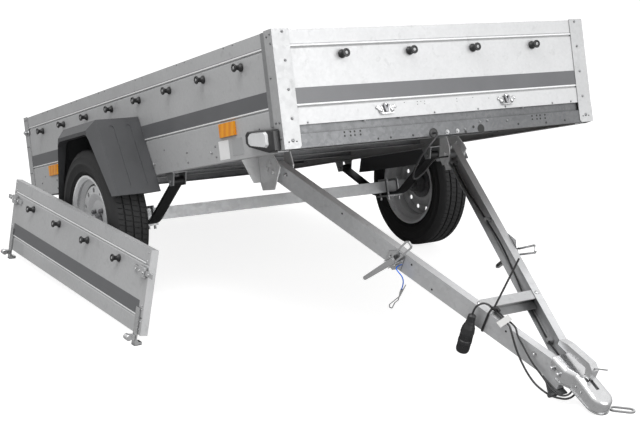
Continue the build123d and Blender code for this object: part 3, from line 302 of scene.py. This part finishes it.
dim_zinc = galvanised("dim_zinc", (0.17, 0.173, 0.178), (0.13, 0.133, 0.138),
                      spangle=100.0, rough=0.36, metal=0.6, smudge=0.80, ripple=0.03)
rivet_zinc = galvanised("rivet_zinc", (0.30, 0.304, 0.31), (0.22, 0.224, 0.23),
                        spangle=200.0, rough=0.34, metal=0.7, smudge=0.8)
hub_steel = galvanised("hub_steel", (0.33, 0.33, 0.34), (0.2, 0.2, 0.21),
                       spangle=200.0, rough=0.4, metal=0.8)
# the rim's paint takes painted shade far into its hollows
wheel_paint = galvanised("wheel_paint", (0.90, 0.905, 0.915), (0.88, 0.885, 0.895),
                         spangle=60.0, rough=0.36, metal=0.05, smudge=0.95, ripple=0.01, shade_reach=0.09)
guard_plastic = plastic("guard_plastic", (0.046, 0.047, 0.050),
                        rough=0.50, grain=0.30, grain_scale=420.0, scuff=0.25)
black_plastic = plastic("black_plastic", (0.014, 0.014, 0.015),
                        rough=0.40, grain=0.15, grain_scale=500.0)
cable_black = plastic("cable_black", (0.016, 0.016, 0.017),
                      rough=0.45, grain=0.12, grain_scale=600.0, scuff=0.4)
black_paint = plastic("black_paint", (0.004, 0.004, 0.0045),
                      rough=0.50, grain=0.10, grain_scale=300.0, scuff=0.0)
rubber = plastic("rubber", (0.008, 0.008, 0.0085), rough=0.78, grain=0.30, grain_scale=350.0, scuff=0.4)
# near-black discs for holes: painted shade inside the openings
hole_shade = plastic("hole_shade", (0.010, 0.010, 0.010), rough=0.60, grain=0.10, grain_scale=300.0)
film = plastic("stripe_film", (0.112, 0.114, 0.120),
               rough=0.30, grain=0.03, grain_scale=30.0, scuff=0.05)
label_white = plastic("label_white", (0.88, 0.88, 0.88), rough=0.45, grain=0.05, grain_scale=200.0)
tag_paper = plastic("tag_paper", (0.62, 0.62, 0.61), rough=0.6, grain=0.05, grain_scale=200.0)
plate_silver = plastic("plate_silver", (0.42, 0.425, 0.43),
                       rough=0.40, grain=0.06, grain_scale=260.0, metal=0.3)
blue_cord = plastic("blue_cord", (0.006, 0.13, 0.62),
                    rough=0.55, grain=0.50, grain_scale=900.0, scuff=0.3)
amber = ribbed_lens("amber", (1.0, 0.42, 0.004), (0.85, 0.27, 0.002), rib_scale=9.0, rough=0.35)
red_glass = ribbed_lens("red_glass", (0.50, 0.012, 0.012), (0.32, 0.006, 0.006), rib_scale=14.0, rough=0.2)


def clear_lens():
    """Clear moulded lens over a pale reflector, fluted inside."""
    made, tree, shader = new_material("clear_lens", Roughness=0.15)
    where = place_of(tree)
    flutes = wire(tree, "TexWave", {"Vector": where, "Scale": 34.0, "Distortion": 0.4},
                  bands_direction="X")
    cloud = wire(tree, "TexNoise", {"Vector": where, "Scale": 30.0, "Detail": 2.0})
    tint = mixed(tree, cloud.outputs["Fac"], (0.74, 0.75, 0.76, 1), (0.93, 0.94, 0.95, 1))
    tree.links.new(tint, shader.inputs["Base Color"])
    shader.inputs["Coat Weight"].default_value = 1.0
    shader.inputs["Coat Roughness"].default_value = 0.04
    bump(tree, shader, flutes.outputs["Fac"], 0.35, 0.001)
    return made


def film_faced_ply():
    """Brown phenolic film with a pressed non-slip lattice and scuffs."""
    made, tree, shader = new_material("plywood", Roughness=0.5)
    where = place_of(tree)
    lattice = wire(tree, "TexVoronoi", {"Vector": where, "Scale": 180.0, "Randomness": 0.0})
    grain = wire(tree, "TexNoise", {"Vector": place_of(tree, (2, 30, 30)), "Scale": 6.0, "Detail": 6.0})
    tint = mixed(tree, grain.outputs["Fac"], (0.045, 0.022, 0.014, 1), (0.11, 0.058, 0.036, 1))
    tree.links.new(tint, shader.inputs["Base Color"])
    bump(tree, shader, lattice.outputs["Distance"], 0.4, 0.0008)
    return made


lens_clear = clear_lens()
plywood = film_faced_ply()

finishes = {
    "front_wall": sheet_zinc, "side_wall": sheet_zinc, "front_posts": post_zinc, "rear_posts": post_zinc,
    "tyre_": rubber, "rim_": wheel_paint, "hub_": hub_steel, "mudguard": guard_plastic,
    "lashing_knobs": black_plastic, "tailgate_knobs": black_plastic, "floor_panel": plywood,
    "leaf_springs": black_paint, "marker_lamps": black_plastic, "marker_lenses": lens_clear,
    "side_reflectors": amber, "rear_lamps": red_glass, "coupler": bright_zinc, "toggle": bright_zinc,
    "snap_hook": bright_zinc, "lanyard_clip": bright_zinc, "tailgate_hooks": bright_zinc,
    "tailgate_latches": post_zinc, "support_foot": dark_zinc, "drawbar_arm": thick_zinc,
    "drawbar_crossbar": post_zinc, "axle_clamps": side_zinc, "axle": side_zinc, "chassis": sheet_zinc,
    "crossmembers": dark_zinc, "front_crossmember": dim_zinc, "rear_crossmember": dark_zinc,
    # pivot brackets in the pale zinc: painted light where the bed's shadow falls
    "spring_hangers": side_zinc, "pivot_brackets": painted_light_zinc, "drawbar_catches": bright_zinc,
    "cable_clips": post_zinc, "cable_tie": cable_black, "plug_cable": cable_black,
    "plug": black_plastic, "tailgate_panel": sheet_zinc,
}
for name, node in nodes.items():
    finish = next((value for start, value in finishes.items() if name.startswith(start)), sheet_zinc)
    node.data.materials.clear()
    node.data.materials.append(finish)


# ---- shapes: (vertices, faces) in millimetres ----
def lathe(profile, sides=20):
    """Turned solid about z from (radius, height) pairs."""
    vertices = []
    for radius, height in profile:
        for step in range(sides):
            angle = 2 * math.pi * step / sides
            vertices.append((radius * math.cos(angle), radius * math.sin(angle), height))
    faces = [tuple(range(sides)), tuple(range(len(vertices) - sides, len(vertices)))]
    for row in range(len(profile) - 1):
        for step in range(sides):
            after = (step + 1) % sides
            faces.append((row * sides + step, row * sides + after,
                          (row + 1) * sides + after, (row + 1) * sides + step))
    return vertices, faces


def slab(outline, low, high):
    """Flat plate of that outline between two heights."""
    count = len(outline)
    vertices = [(x, y, z) for z in (low, high) for x, y in outline]
    faces = [tuple(range(count)), tuple(range(count, 2 * count))]
    faces += [(k, (k + 1) % count, (k + 1) % count + count, k + count) for k in range(count)]
    return vertices, faces


def rounded(width, height, radius, steps=4):
    """Outline of a rectangle with round corners, about its middle."""
    points = []
    for quarter, (across, up) in enumerate(((1, 1), (-1, 1), (-1, -1), (1, -1))):
        for step in range(steps + 1):
            angle = math.pi / 2 * (quarter + step / steps)
            points.append((across * (width / 2 - radius) + radius * math.cos(angle),
                           up * (height / 2 - radius) + radius * math.sin(angle)))
    return points


def dome(radius, height, foot=0.8):
    """Round bolt head."""
    return lathe([(radius, 0), (radius, foot), (0.86 * radius, foot + 0.5 * height),
                  (0.55 * radius, foot + 0.85 * height), (0.15 * radius, foot + height)], 14)


def hex_bolt(across, height):
    """Hexagon head on a washer, with a chamfered top."""
    washer = lathe([(across * 0.98, 0), (across * 0.98, 1.2)], 20)
    head = lathe([(across * 0.62, 1.2), (across * 0.62, height - 1), (across * 0.52, height)], 6)
    return washer, head


SHARP_EDGE = 32


def piece(name, body, finish, parts):
    """One mesh object from (shape, place) pairs, which rides on a body."""
    mesh = bpy.data.meshes.new(name)
    form = bmesh.new()
    for (vertices, faces), place in parts:
        corners = [form.verts.new(place @ (Vector(vertex) / 1000)) for vertex in vertices]
        for face in faces:
            form.faces.new([corners[index] for index in face])
    bmesh.ops.recalc_face_normals(form, faces=form.faces)
    form.to_mesh(mesh)
    form.free()
    mesh.shade_smooth()
    mesh.set_sharp_from_angle(angle=math.radians(SHARP_EDGE))
    mesh.materials.append(finish)
    made = bpy.data.objects.new(name, mesh)
    scene.collection.objects.link(made)
    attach(made, body)
    return made


def solids(shapes, place):
    """The same place for each of several shapes."""
    return [(shape, place) for shape in shapes]


# ---- stripes, bare of any lettering ----
FILM_THICKNESS = 0.35
POST_WIDTH = 50
POST_REACH = 74
FRONT_SPAN = 2 * (BOX_HALF - 62)
GATE_STRIPE = 1290
EDGE_HEIGHT = 296
EDGE_MIDDLE = 224
stripe_mid = (STRIPE[0] + STRIPE[1]) / 2
stripe_height = STRIPE[1] - STRIPE[0]
side_length = BOX_LENGTH - POST_REACH - POST_WIDTH
stripe_parts = [(slab(rounded(side_length, stripe_height, 0.5, 1), 0, FILM_THICKNESS),
                 on_wall(side, -POST_REACH - side_length / 2, stripe_mid)) for side in (1, -1)]
stripe_parts.append((slab(rounded(FRONT_SPAN, stripe_height, 0.5, 1), 0, FILM_THICKNESS),
                     on_front(0, stripe_mid)))
piece("body_stripes", "bed", film, stripe_parts)
piece("tailgate_stripe", "tailgate", film,
      [(slab(rounded(GATE_STRIPE, stripe_height, 0.5, 1), 0, FILM_THICKNESS), on_gate(0, stripe_mid))])

# ---- doubled edge behind the front posts; pressed swages of the panels in pale zinc as a painted highlight, each under a dark strip of painted shadow ----
piece("post_edges", "bed", side_zinc,
      [(slab(rounded(POST_REACH - POST_WIDTH, EDGE_HEIGHT, 1, 1), 0, 2.4),
        on_wall(side, -(POST_WIDTH + POST_REACH) / 2, EDGE_MIDDLE)) for side in (1, -1)])
swage = [(0, -3), (1.6, -2.4), (1.6, -1.4), (0, 3)]
GROOVES = (129.8, 316)
SWAGE_RISE = 6
SHADOW_LINE_RISE = 9.6
GATE_SWAGE = 1310
swages = []
shadow_lines = []
for height in GROOVES:
    swages += [(slab(swage, 0, side_length), placed(bed(start, side * WALL, height + SWAGE_RISE),
                                                    bed_way(side, 0, 0), bed_way(0, side, 0)))
               for side, start in ((1, -POST_REACH - side_length), (-1, -POST_REACH))]
    swages.append((slab(swage, 0, FRONT_SPAN),
                   placed(bed(WALL_X, FRONT_SPAN / 2, height + SWAGE_RISE), bed_way(0, -1, 0),
                          bed_way(1, 0, 0))))
    # dark strips above each swage: painted shadow under the step of the sheet
    shadow_lines += [(slab(rounded(side_length, 1.5, 0.2, 1), 0, 0.2),
              on_wall(side, -POST_REACH - side_length / 2, height + SHADOW_LINE_RISE)) for side in (1, -1)]
    shadow_lines.append((slab(rounded(FRONT_SPAN, 2.2, 0.2, 1), 0, 0.2), on_front(0, height + SHADOW_LINE_RISE)))
# pale zinc on the swages: a painted highlight along each groove
piece("panel_swages", "bed", painted_light_zinc, swages)
piece("panel_shadow_lines", "bed", hub_steel, shadow_lines)
# tailgate: pale swages as painted highlight, dark strips above them as painted shadow
piece("gate_swages", "tailgate", painted_light_zinc,
      [(slab(swage, 0, GATE_SWAGE),
        placed(gate(GATE_SWAGE / 2, 0, height + SWAGE_RISE + GATE_RISE), gate_way(-1, 0, 0),
               gate_way(0, -1, 0))) for height in GROOVES])
piece("gate_shadow_lines", "tailgate", hub_steel,
      [(slab(rounded(GATE_SWAGE, 1.5, 0.2, 1), 0, 0.2), on_gate(0, height + SHADOW_LINE_RISE)) for height in GROOVES])

# ---- lashing knobs: turned spools with a bolt through them ----
spool = lathe([(13, 0), (14, 1), (14, 4), (12, 6), (9, 9), (8, 13), (8, 17), (9, 21), (12, 24),
               (14, 25.5), (14, 28.5), (13, 30), (9.5, 30), (8.6, 28), (5, 28)], 28)
spool_bolt = lathe([(5, 26), (5, 29.4), (4, 30.4), (2.2, 30.4), (2, 29), (0.4, 29)], 16)
KNOB_ROW = 288
FIRST_KNOB = 222
LAST_KNOB = 243
FRONT_KNOB = 252
GATE_KNOB = 245
side_pitch = (BOX_LENGTH - FIRST_KNOB - LAST_KNOB) / 7
front_pitch = (2 * BOX_HALF - 2 * FRONT_KNOB) / 3
gate_pitch = (2 * GATE_HALF - 2 * GATE_KNOB) / 3
knob_places = [on_wall(side, -FIRST_KNOB - number * side_pitch, KNOB_ROW)
               for side in (1, -1) for number in range(8)]
knob_places += [on_front((number - 1.5) * front_pitch, KNOB_ROW) for number in range(4)]
gate_places = [on_gate((number - 1.5) * gate_pitch, KNOB_ROW) for number in range(4)]
for name, body, node, places in (("knob_spools", "bed", "lashing_knobs", knob_places),
                                 ("gate_spools", "tailgate", "tailgate_knobs", gate_places)):
    spools = piece(name, body, black_plastic, [(spool, place) for place in places])
    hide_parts(node)
    piece(name + "_bolts", body, post_zinc, [(spool_bolt, place) for place in places])

# ---- bolts, rivets and holes of the load bed ----
rivets = []
for side in (1, -1):
    for height in (366, 276, 185, 94):
        rivets.append((dome(4.6, 2.6), on_front(side * 617, height, 0)))
    rivets.append((dome(5.6, 3.2), on_front(side * 623, 26, 0)))
    for back, height, radius in ((-33, 355, 4), (-14, 360, 4), (-14, 331, 4), (-36, 227, 4),
                                 (-36, 86, 4.5), (-14, 85, 4.5), (-16, 36, 5.5)):
        rivets.append((dome(radius, 2.6), on_wall(side, back, height, 3)))
    for back in (-2365, -2385):
        for height in (360, 235, 110, 20):
            rivets.append((dome(4.2, 2.4), on_wall(side, back, height, 3)))
    for back in (-263, -327, -628, -692, -1000, -1064, -1380, -1444, -1698, -1762, -2068, -2132):
        rivets.append((dome(2.6, 1.4), on_wall(side, back, 368)))
    for back in (-467, -692, -2050, -2250):
        for height in (54, 18):
            rivets.append((dome(4, 2.4), on_wall(side, back, height)))
    for back in (-150, -420, -880, -1900, -2200):
        rivets.append((dome(3, 1.6), on_wall(side, back, 80)))
for across in (-560, -345, -205, -60, 128, 250, 329, 470, 560):
    rivets.append((dome(3.2, 2), on_front(across, 78 - 8 * (across % 2))))
for across, height in ((128, 33), (162, 36), (250, 30), (60, 13)):
    rivets.append((dome(5, 3), on_front(across, height)))
piece("bed_rivets", "bed", rivet_zinc, rivets)

bolts = []
for across in (-16, 27):
    bolts += solids(hex_bolt(8, 6), on_front(across, 9))
for side in (1, -1):
    for back in (-500, -980, -1530, -1960):
        bolts += solids(hex_bolt(6, 6), on_wall(side, back, 36))
piece("frame_bolts", "bed", post_zinc, bolts)

# holes are near-black discs on the sheet: painted shade in the openings
holes = []
for across in (-428, -405, -389, -367, 367, 389, 405, 428):
    for height in (38, 26):
        holes.append((lathe([(3.4, 0), (3.4, 0.3)], 14), on_front(across, height)))
for across, height, radius in ((130, 10, 15), (98, 18, 5), (62, 3, 5), (-160, 8, 4), (-300, 8, 3.5),
                               (-250, 8, 3.5), (430, 10, 4), (520, 12, 4), (300, 14, 4)):
    holes.append((lathe([(radius, 0), (radius, 0.3)], 24), on_front(across, height)))
for across, height in ((-127, 118), (-97, 118), (-127, 109), (-97, 109), (-112, 118), (110, 118),
                       (-180, 118), (180, 112), (40, 118), (40, 109)):
    holes.append((lathe([(1.4, 0), (1.4, 0.3)], 10), on_front(across, height)))
for side in (1, -1):
    for across in (-14, 14):
        holes.append((lathe([(2.4, 0), (2.4, 0.3)], 12), on_front(side * 623 + across, 22, 0)))
piece("punched_holes", "bed", hole_shade, holes)

grommet = lathe([(17, 0), (17, 1.5), (14, 3.5), (9, 3.8), (4, 3.2)], 28)
piece("loom_grommet", "bed", black_plastic, [(grommet, on_front(-75, 9))])

# ---- drawbar catches on the front wall: boat-shaped plate, tongue and rivets ----
CATCH_Y = 257
CATCH_Z = 102
boat = [(-37, 9), (-33, 12), (-21, 7), (-13, 12), (13, 12), (21, 7), (33, 12), (37, 9), (26, -13),
        (20, -16), (-20, -16), (-26, -13)]
tongue = [(-12, 12), (-5, -10), (5, -10), (12, 12), (7, 15), (0, 2), (-7, 15)]
catch_parts = []
for side in (1, -1):
    place = on_front(side * CATCH_Y, CATCH_Z)
    catch_parts.append((slab(boat, 0, 3), place))
    catch_parts.append((slab([(-26, -13), (26, -13), (20, -16), (-20, -16)], 3, 12), place))
    for across, up, radius in ((-23, -3, 8), (23, -3, 8), (0, 15, 6.5), (-36, 5, 4.5), (36, 5, 4.5)):
        catch_parts.append((dome(radius, 0.7 * radius, 3), on_front(side * CATCH_Y + across, CATCH_Z + up)))
piece("catch_tongues", "bed", hub_steel,
      [(slab(tongue, 3, 9), on_front(side * CATCH_Y, CATCH_Z)) for side in (1, -1)])
catches = piece("latch_catches", "bed", bright_zinc, catch_parts)
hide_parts("drawbar_catches")

# ---- blank label and plate beside the marker lamp, and the tailgate's ----
piece("blank_labels", "bed", label_white,
      [(slab(rounded(72, 64, 2), 0, 0.4), on_wall(-1, -406, 36))])
PLATE_X = -308
PLATE_Z = 38
plate_parts = [(slab(rounded(74, 56, 3), 0, 0.9), on_wall(-1, PLATE_X, PLATE_Z))]
plate_parts += [(dome(2.2, 1.2, 1.2), on_wall(-1, PLATE_X + across, PLATE_Z + up))
                for across in (-33, 33) for up in (-24, 24)]
piece("blank_plate", "bed", plate_silver, plate_parts)
piece("gate_label", "tailgate", plate_silver,
      [(slab(rounded(112, 44, 2), 0, 0.4), on_gate(-560, 100))])

# ---- rear corner latches of the load bed ----
LATCH_X = -2368
LATCH_Z = 302
latch_parts = []
for side in (1, -1):
    place = on_wall(side, LATCH_X, LATCH_Z, 3)
    latch_parts += [(slab(rounded(60, 24, 6), 0, 3), place), (slab(rounded(44, 9, 4), 3, 12), place)]
    for across in (-22, 22):
        latch_parts.append((dome(5, 3, 3.6), on_wall(side, LATCH_X + across, LATCH_Z, 3)))
    latch_parts.append((lathe([(9, 3), (9, 14), (7, 16)], 18), place))
piece("rear_latches", "bed", bright_zinc, latch_parts)

# ---- sections of the rear lamps, on the back of each ----
LAMP_BACK = -BOX_LENGTH + 3 - 52
LAMP_Y = BOX_HALF - 140
LAMP_Z = 34
for name, finish, slot, middle, width in (("tail_amber", amber, "amber_lens", -66, 60),
                                          ("tail_clear", lens_clear, "clear_lens", 68, 56),
                                          ("tail_red", red_glass, "red_lens", 1, 66)):
    piece(name, "bed", finish,
          [(slab(rounded(width, 56, 5), 0, 4),
            placed(bed(LAMP_BACK, side * LAMP_Y + middle, LAMP_Z), bed_way(-1, 0, 0), bed_way(0, -1, 0)))
           for side in (1, -1)])

# ---- tailgate: rivets, latch bolts, hinge barrels ----
gate_parts = []
for side in (1, -1):
    for across, height in ((664, 360), (664, 330), (668, 176), (668, 160), (668, 118), (668, 92)):
        gate_parts.append((dome(3.2, 1.8), on_gate(side * across, height)))
    for across in (606, 636, 664, 700):
        gate_parts.append((dome(4.2, 2.4), on_gate(side * across, 258 - GATE_RISE, 8 + 5 * (across < 680))))
    place = placed(gate(side * 650 - 15, -30, 28), gate_way(1, 0, 0), gate_way(0, 0, 1))
    gate_parts.append((lathe([(9, 0), (11, 2), (11, 28), (9, 30)], 20), place))
    gate_parts.append((slab([(-7, -28), (9, -30), (9, 4), (-7, 4)], 4, 26), place))
piece("gate_fittings", "tailgate", bright_zinc, gate_parts)


# ---- tyres: sidewall rings, grooves round the tread and slanted cuts in its ribs ----
TREAD_PITCHES = 84
TREAD_HALF = 54
TREAD_SLANT = 0.7
CUT_STEPS = ((0.0, 0), (0.04, 1), (0.13, 1), (0.17, 0), (0.58, 0))
side_rows = [(54.5, 165.3), (54.5, 184), (58, 187), (62.5, 190), (66, 195), (69.6, 197), (69.4, 201),
             (73.5, 210), (76.4, 221), (77.5, 223), (77.5, 227), (76, 229), (75, 238), (72.6, 249),
             (73.2, 251), (71, 254), (67, 261), (62, 268), (57.5, 273), (54.5, 276)]
tread_rows = [(52, 277.2, 5), (44, 277.8, 5), (36, 278, 5), (34.6, 271, 0), (29.4, 271, 0),
              (28, 278, 4), (20, 278, 4), (12, 278, 4), (4, 278, 4), (2.6, 271, 0)]
half_rows = [(across, radius, 0) for across, radius in side_rows] + tread_rows
rows = half_rows + [(-across, radius, cut) for across, radius, cut in reversed(half_rows)]


def tyre_shape():
    """Tyre about z with its tread cut; sheared so that the cuts run at a slant."""
    vertices = []
    for across, radius, cut in rows:
        slant = max(-1, min(1, across / TREAD_HALF)) * TREAD_SLANT
        for pitch in range(TREAD_PITCHES):
            for step, low in CUT_STEPS:
                angle = 2 * math.pi * (pitch + step + slant) / TREAD_PITCHES
                reach = radius - low * cut
                vertices.append((reach * math.cos(angle), reach * math.sin(angle), across))
    ring = TREAD_PITCHES * len(CUT_STEPS)
    faces = []
    for row in range(len(rows)):
        start = row * ring
        after = (row + 1) % len(rows) * ring
        for step in range(ring):
            following = (step + 1) % ring
            faces.append((start + step, start + following, after + following, after + step))
    return vertices, faces


VALVE_PLACE = (0.112, 0.074, 0.022)
LUG_RING = 0.05
LUG_FACE = 0.0316
tyre = tyre_shape()
valve = lathe([(4, 0), (4, 14), (3, 15), (3, 24), (3.6, 25), (3.6, 32), (2.6, 34)], 12)
for side, hand in ((1, "left"), (-1, "right")):
    middle = bed(AXLE_X, side * HUB_Y, AXLE_Z)
    wheel = placed(middle, bed_way(0, side, 0), bed_way(side, 0, 0))
    covering = piece(f"tyre_{hand}_tread", f"wheel_{hand}", rubber, [(tyre, wheel)])
    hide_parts(f"tyre_{hand}")
    fittings = [(valve, wheel @ Matrix.Translation(VALVE_PLACE))]
    for lug in range(4):
        angle = math.pi / 4 + lug * math.pi / 2
        lug_place = Matrix.Translation((LUG_RING * math.cos(angle), LUG_RING * math.sin(angle), LUG_FACE))
        fittings.append((lathe([(5.5, 0), (5.5, 3), (4.5, 5), (1.5, 6)], 12), wheel @ lug_place))
    piece(f"wheel_{hand}_fittings", f"wheel_{hand}", hub_steel, fittings)

# ---- drawbar: bolts, holes, blank tag, ribs of the plug ----
bolt_parts = []
for side in (1, -1):
    bolt_parts.append((dome(8, 4.5), on_bar(856, side * (web_y(856) - 16), 35)))
    out, along = (0, side, 0), (-side, 0, 0)
    for x in (1166, 1196):
        bolt_parts += solids(hex_bolt(9, 9), on_bar(x, side * 54.5, 18, out, along))
    for x in (1256, 1282):
        bolt_parts.append((dome(3.6, 2.2), on_bar(x, side * (35.6 + (x - 1240) * 0.035), 18, out, along)))
    for x in (40, 1090):
        bolt_parts += solids(hex_bolt(8, 8), on_arm(side, x, 12))
for across in (-14, 14):
    bolt_parts.append((dome(4.5, 2.6), on_bar(1166, across, 35.2)))
piece("drawbar_bolts", "drawbar", bright_zinc, bolt_parts)
# the arms' holes as near-black discs: painted shade in the openings
arm_holes = [(lathe([(3.6, 0), (3.6, 0.3)], 16), on_arm(side, x, z))
             for side in (1, -1) for x, z in ((604, 14), (700, -20), (980, 18), (300, 18))]
piece("arm_holes", "drawbar", hole_shade, arm_holes)
piece("blank_tag", "drawbar", tag_paper,
      [(slab(rounded(26, 46, 1), 0, 0.5), on_bar(964, -106, 48, (0.1, -0.62, 0.78), (1, -0.1, 0.05)))])
LEAD_ABOVE = (876, -159.5, 36)
LEAD_END = (878.5, -160, 17)
PLUG_REACH = 0.139
PLUG_RIBS = 24
plug_axis = (bar(*LEAD_ABOVE) - bar(*LEAD_END)).normalized()
plug_foot = bar(*LEAD_END) - plug_axis * PLUG_REACH
ribs = []
for step in range(PLUG_RIBS):
    angle = 2 * math.pi * step / PLUG_RIBS
    for low, high in ((7, 31), (48, 64)):
        rib = slab([(20.6, -1), (22, -0.6), (22, 0.6), (20.6, 1)], low, high)
        ribs.append((rib, placed(plug_foot, plug_axis, plug_axis.orthogonal().normalized())
                     @ Matrix.Rotation(angle, 4, "Z")))
piece("plug_ribs", "drawbar", black_plastic, ribs)


# ---- cords: the routes of part.py, in millimetres ----
def route_line(name, points, radius, point_of):
    """Smooth round cord through the route's points as control points."""
    data = bpy.data.curves.new(name, "CURVE")
    data.dimensions = "3D"
    data.bevel_depth = radius / 1000
    data.bevel_resolution = 3
    data.resolution_u = 8
    data.use_fill_caps = True
    spline = data.splines.new("NURBS")
    spline.points.add(len(points) - 1)
    for point, spot in zip(spline.points, points):
        point.co = (*point_of(spot), 1)
    spline.order_u = 3
    spline.use_endpoint_u = True
    made = bpy.data.objects.new(name, data)
    scene.collection.objects.link(made)
    return made


CHANNEL_DEPTH = 20


def beside_left_arm(x, z):
    """Point in the left arm's channel, where the wiring cable runs."""
    return x, web_y(x) - CHANNEL_DEPTH / math.cos(ARM_TURN), z


TOGGLE_X = 545
TOGGLE_OUT = 0.5
TOGGLE_DROP = 5


def latch_point(point):
    """A point in the plane of the right-hand latch, in the row frame."""
    along, out, up = point
    sine, cosine = math.sin(ARM_TURN), math.cos(ARM_TURN)
    return bar(TOGGLE_X + along * cosine - out * sine,
               -web_y(TOGGLE_X) - TOGGLE_OUT + along * sine + out * cosine, up - TOGGLE_DROP)


arm_route = [beside_left_arm(x, z) for x, z in (
    (40, -20), (92, -24), (160, -25.5), (230, -24), (300, -17), (372, -10.5), (442, -6), (514, -1.5),
    (585, -1), (655, -8), (724, -15), (790, -24), (858, -25.5), (926, -23.5), (992, -25), (1042, -22),
    (1082, -15))]
arm_route += [(1116, 33, -8), (1150, 23, 2), (1182, 9, 14), (1212, -7, 32), (1234, -7, 32)]
plug_route = [(1243, -4, 22), (1243, -4, -4), (1256, -20, -22), (1253, -42, -36), (1234, -60, -44),
              (1208, -67, -55), (1176, -69, -63), (1144, -71, -66), (1114, -75, -59), (1086, -81, -44),
              (1061, -88, -25), (1040, -95, -4), (1024, -102, 18), (1008, -107, 39), (988, -104, 50),
              (961, -100, 44), (933, -100, 42), (906, -101, 44.5), (891, -115, 56), (882.5, -133, 61),
              (877.5, -150, 53), LEAD_ABOVE, LEAD_END]
rope_route = [(918, -92, 43.5), (940, -92, 43.5), (962, -88, 46), (984, -87, 48), (1004, -90, 50.5),
              (1026, -97, 39), (1050, -89, 23), (1075, -81, 4), (1101, -73, -13), (1130, -65, -25),
              (1160, -60.5, -33), (1188, -63, -38), (1214, -64, -37), (1236, -56, -34), (1248, -38, -25),
              (1244, -23, -8), (1231, -24, 15), (1231, -24, 35.5)]
hook_route = [(1279, 14, 35.5), (1279, 14, 15), (1284, 16, -6), (1298, 22, -20), (1315, 31, -20.5),
              (1332, 37, -14)]
lanyard_route = [(20, -3, -12), (20, -23, -12), (38, -30, -14), (56, -22, -26), (65, -15, -50),
                 (65, -15, -76)]
loom_route = [(-3, -75, 9), (18, -75, 9), (36, -92, -5), (34, -120, -28), (8, -138, -57),
              (-32, -137, -88), (-74, -123, -113), (-116, -98, -136), (-180, -30, -133),
              (-240, 48, -113), (-300, 112, -94), (-365, 180, -79), (-428, 246, -68), (-482, 300, -62),
              (-482, 350, -62)]


def in_bar(point):
    """A route's point in the drawbar's frame, in the row frame."""
    return bar(*point)


def in_bed(point):
    """A route's point in the bed's frame, in the row frame."""
    return bed(*point)


# name, node, route, radius, length in metres, frame, finish, body, far end, stiffness, pieces on it
cords = (
    ("arm_wiring", "arm_cable", arm_route, 3.25, 1.265, in_bar, cable_black, "drawbar", "object",
     "medium", []),
    ("plug_lead", "plug_cable", plug_route, 3.25, 0.582, in_bar, cable_black, "drawbar", "plug",
     "medium", ["plug"]),
    ("breakaway_rope", "safety_rope", rope_route, 3.0, 0.437, in_bar, cable_black, "drawbar", "object",
     "limp", []),
    ("hook_cord", "hook_rope", hook_route, 3.0, 0.100, in_bar, cable_black, "drawbar", "fitting",
     "limp", ["snap_hook"]),
    ("clip_lanyard", "lanyard", lanyard_route, 2.0, 0.111, latch_point, blue_cord, "drawbar", "fitting",
     "limp", ["lanyard_clip"]),
    ("front_loom", "loom_cable", loom_route, 3.25, 0.874, in_bed, cable_black, "bed", "object",
     "medium", []),
)
for name, node, route, radius, length, point_of, finish, body, far_end, stiffness, on_it in cords:
    line = route_line(name, route, radius, point_of)
    line.data.materials.append(finish)
    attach(line, body)
    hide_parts(node)
    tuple(point_of(route[0]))

# ---- floor, world and lamps: in gloss the world is bright overhead and dimmer at the sides ----
FLOOR_HALF = 60
FLOOR_GREY = (0.42, 0.42, 0.42, 1)
FLOOR_GLOW = 0.84
WHITE = (1, 1, 1, 1)
AMBIENT = 0.56
GLOSS_LOW = 0.62
GLOSS_OVERHEAD = 1.25
floor_mesh = bpy.data.meshes.new("floor")
floor_mesh.from_pydata([(-FLOOR_HALF, -FLOOR_HALF, 0), (FLOOR_HALF, -FLOOR_HALF, 0),
                        (FLOOR_HALF, FLOOR_HALF, 0), (-FLOOR_HALF, FLOOR_HALF, 0)], [], [(0, 1, 2, 3)])
floor = bpy.data.objects.new("floor", floor_mesh)
scene.collection.objects.link(floor)


def seen_directly(tree):
    """1 for the rays that show the backdrop: from the camera and through glass."""
    rays = wire(tree, "LightPath")
    return wire(tree, "Math", {0: rays.outputs["Is Camera Ray"], 1: rays.outputs["Is Transmission Ray"]},
                operation="MAXIMUM").outputs[0]


floor_finish, tree, shader = new_material("floor", Roughness=0.9)
shader.inputs["Base Color"].default_value = FLOOR_GREY
shader.inputs["Emission Color"].default_value = WHITE
glow = wire(tree, "MapRange", {"Value": seen_directly(tree), "To Max": FLOOR_GLOW})
tree.links.new(glow.outputs[0], shader.inputs["Emission Strength"])
floor_mesh.materials.append(floor_finish)

world = bpy.data.worlds.new("studio")
scene.world = world
world.use_nodes = True
tree = world.node_tree
upward = wire(tree, "SeparateXYZ", {"Vector": wire(tree, "TexCoord").outputs["Generated"]}).outputs["Z"]
above = wire(tree, "MapRange", {"Value": upward, "From Min": -0.1, "From Max": 0.75,
                                "To Min": GLOSS_LOW, "To Max": GLOSS_OVERHEAD}).outputs[0]
gloss = wire(tree, "LightPath").outputs["Is Glossy Ray"]
ambient = wire(tree, "MapRange", {"Value": gloss, "To Min": AMBIENT, "To Max": above}).outputs[0]
strength = wire(tree, "MapRange", {"Value": seen_directly(tree), "To Min": ambient, "To Max": 1.0})
back = tree.nodes["Background"]
back.inputs["Color"].default_value = WHITE
tree.links.new(strength.outputs[0], back.inputs["Strength"])


def lamp(name, size, power, where, target):
    """A square soft lamp aimed at a point."""
    data = bpy.data.lights.new(name, "AREA")
    data.size = size
    data.energy = power
    made = bpy.data.objects.new(name, data)
    made.location = where
    made.rotation_euler = (Vector(target) - Vector(where)).to_track_quat("-Z", "Y").to_euler()
    scene.collection.objects.link(made)


lamp("front", size=6.0, power=480, where=(9.0, 2.2, 3.0), target=(0.7, 0, 0.7))
lamp("overhead", size=3.0, power=130, where=(1.5, -2.5, 5.0), target=(0, 0, 0.5))
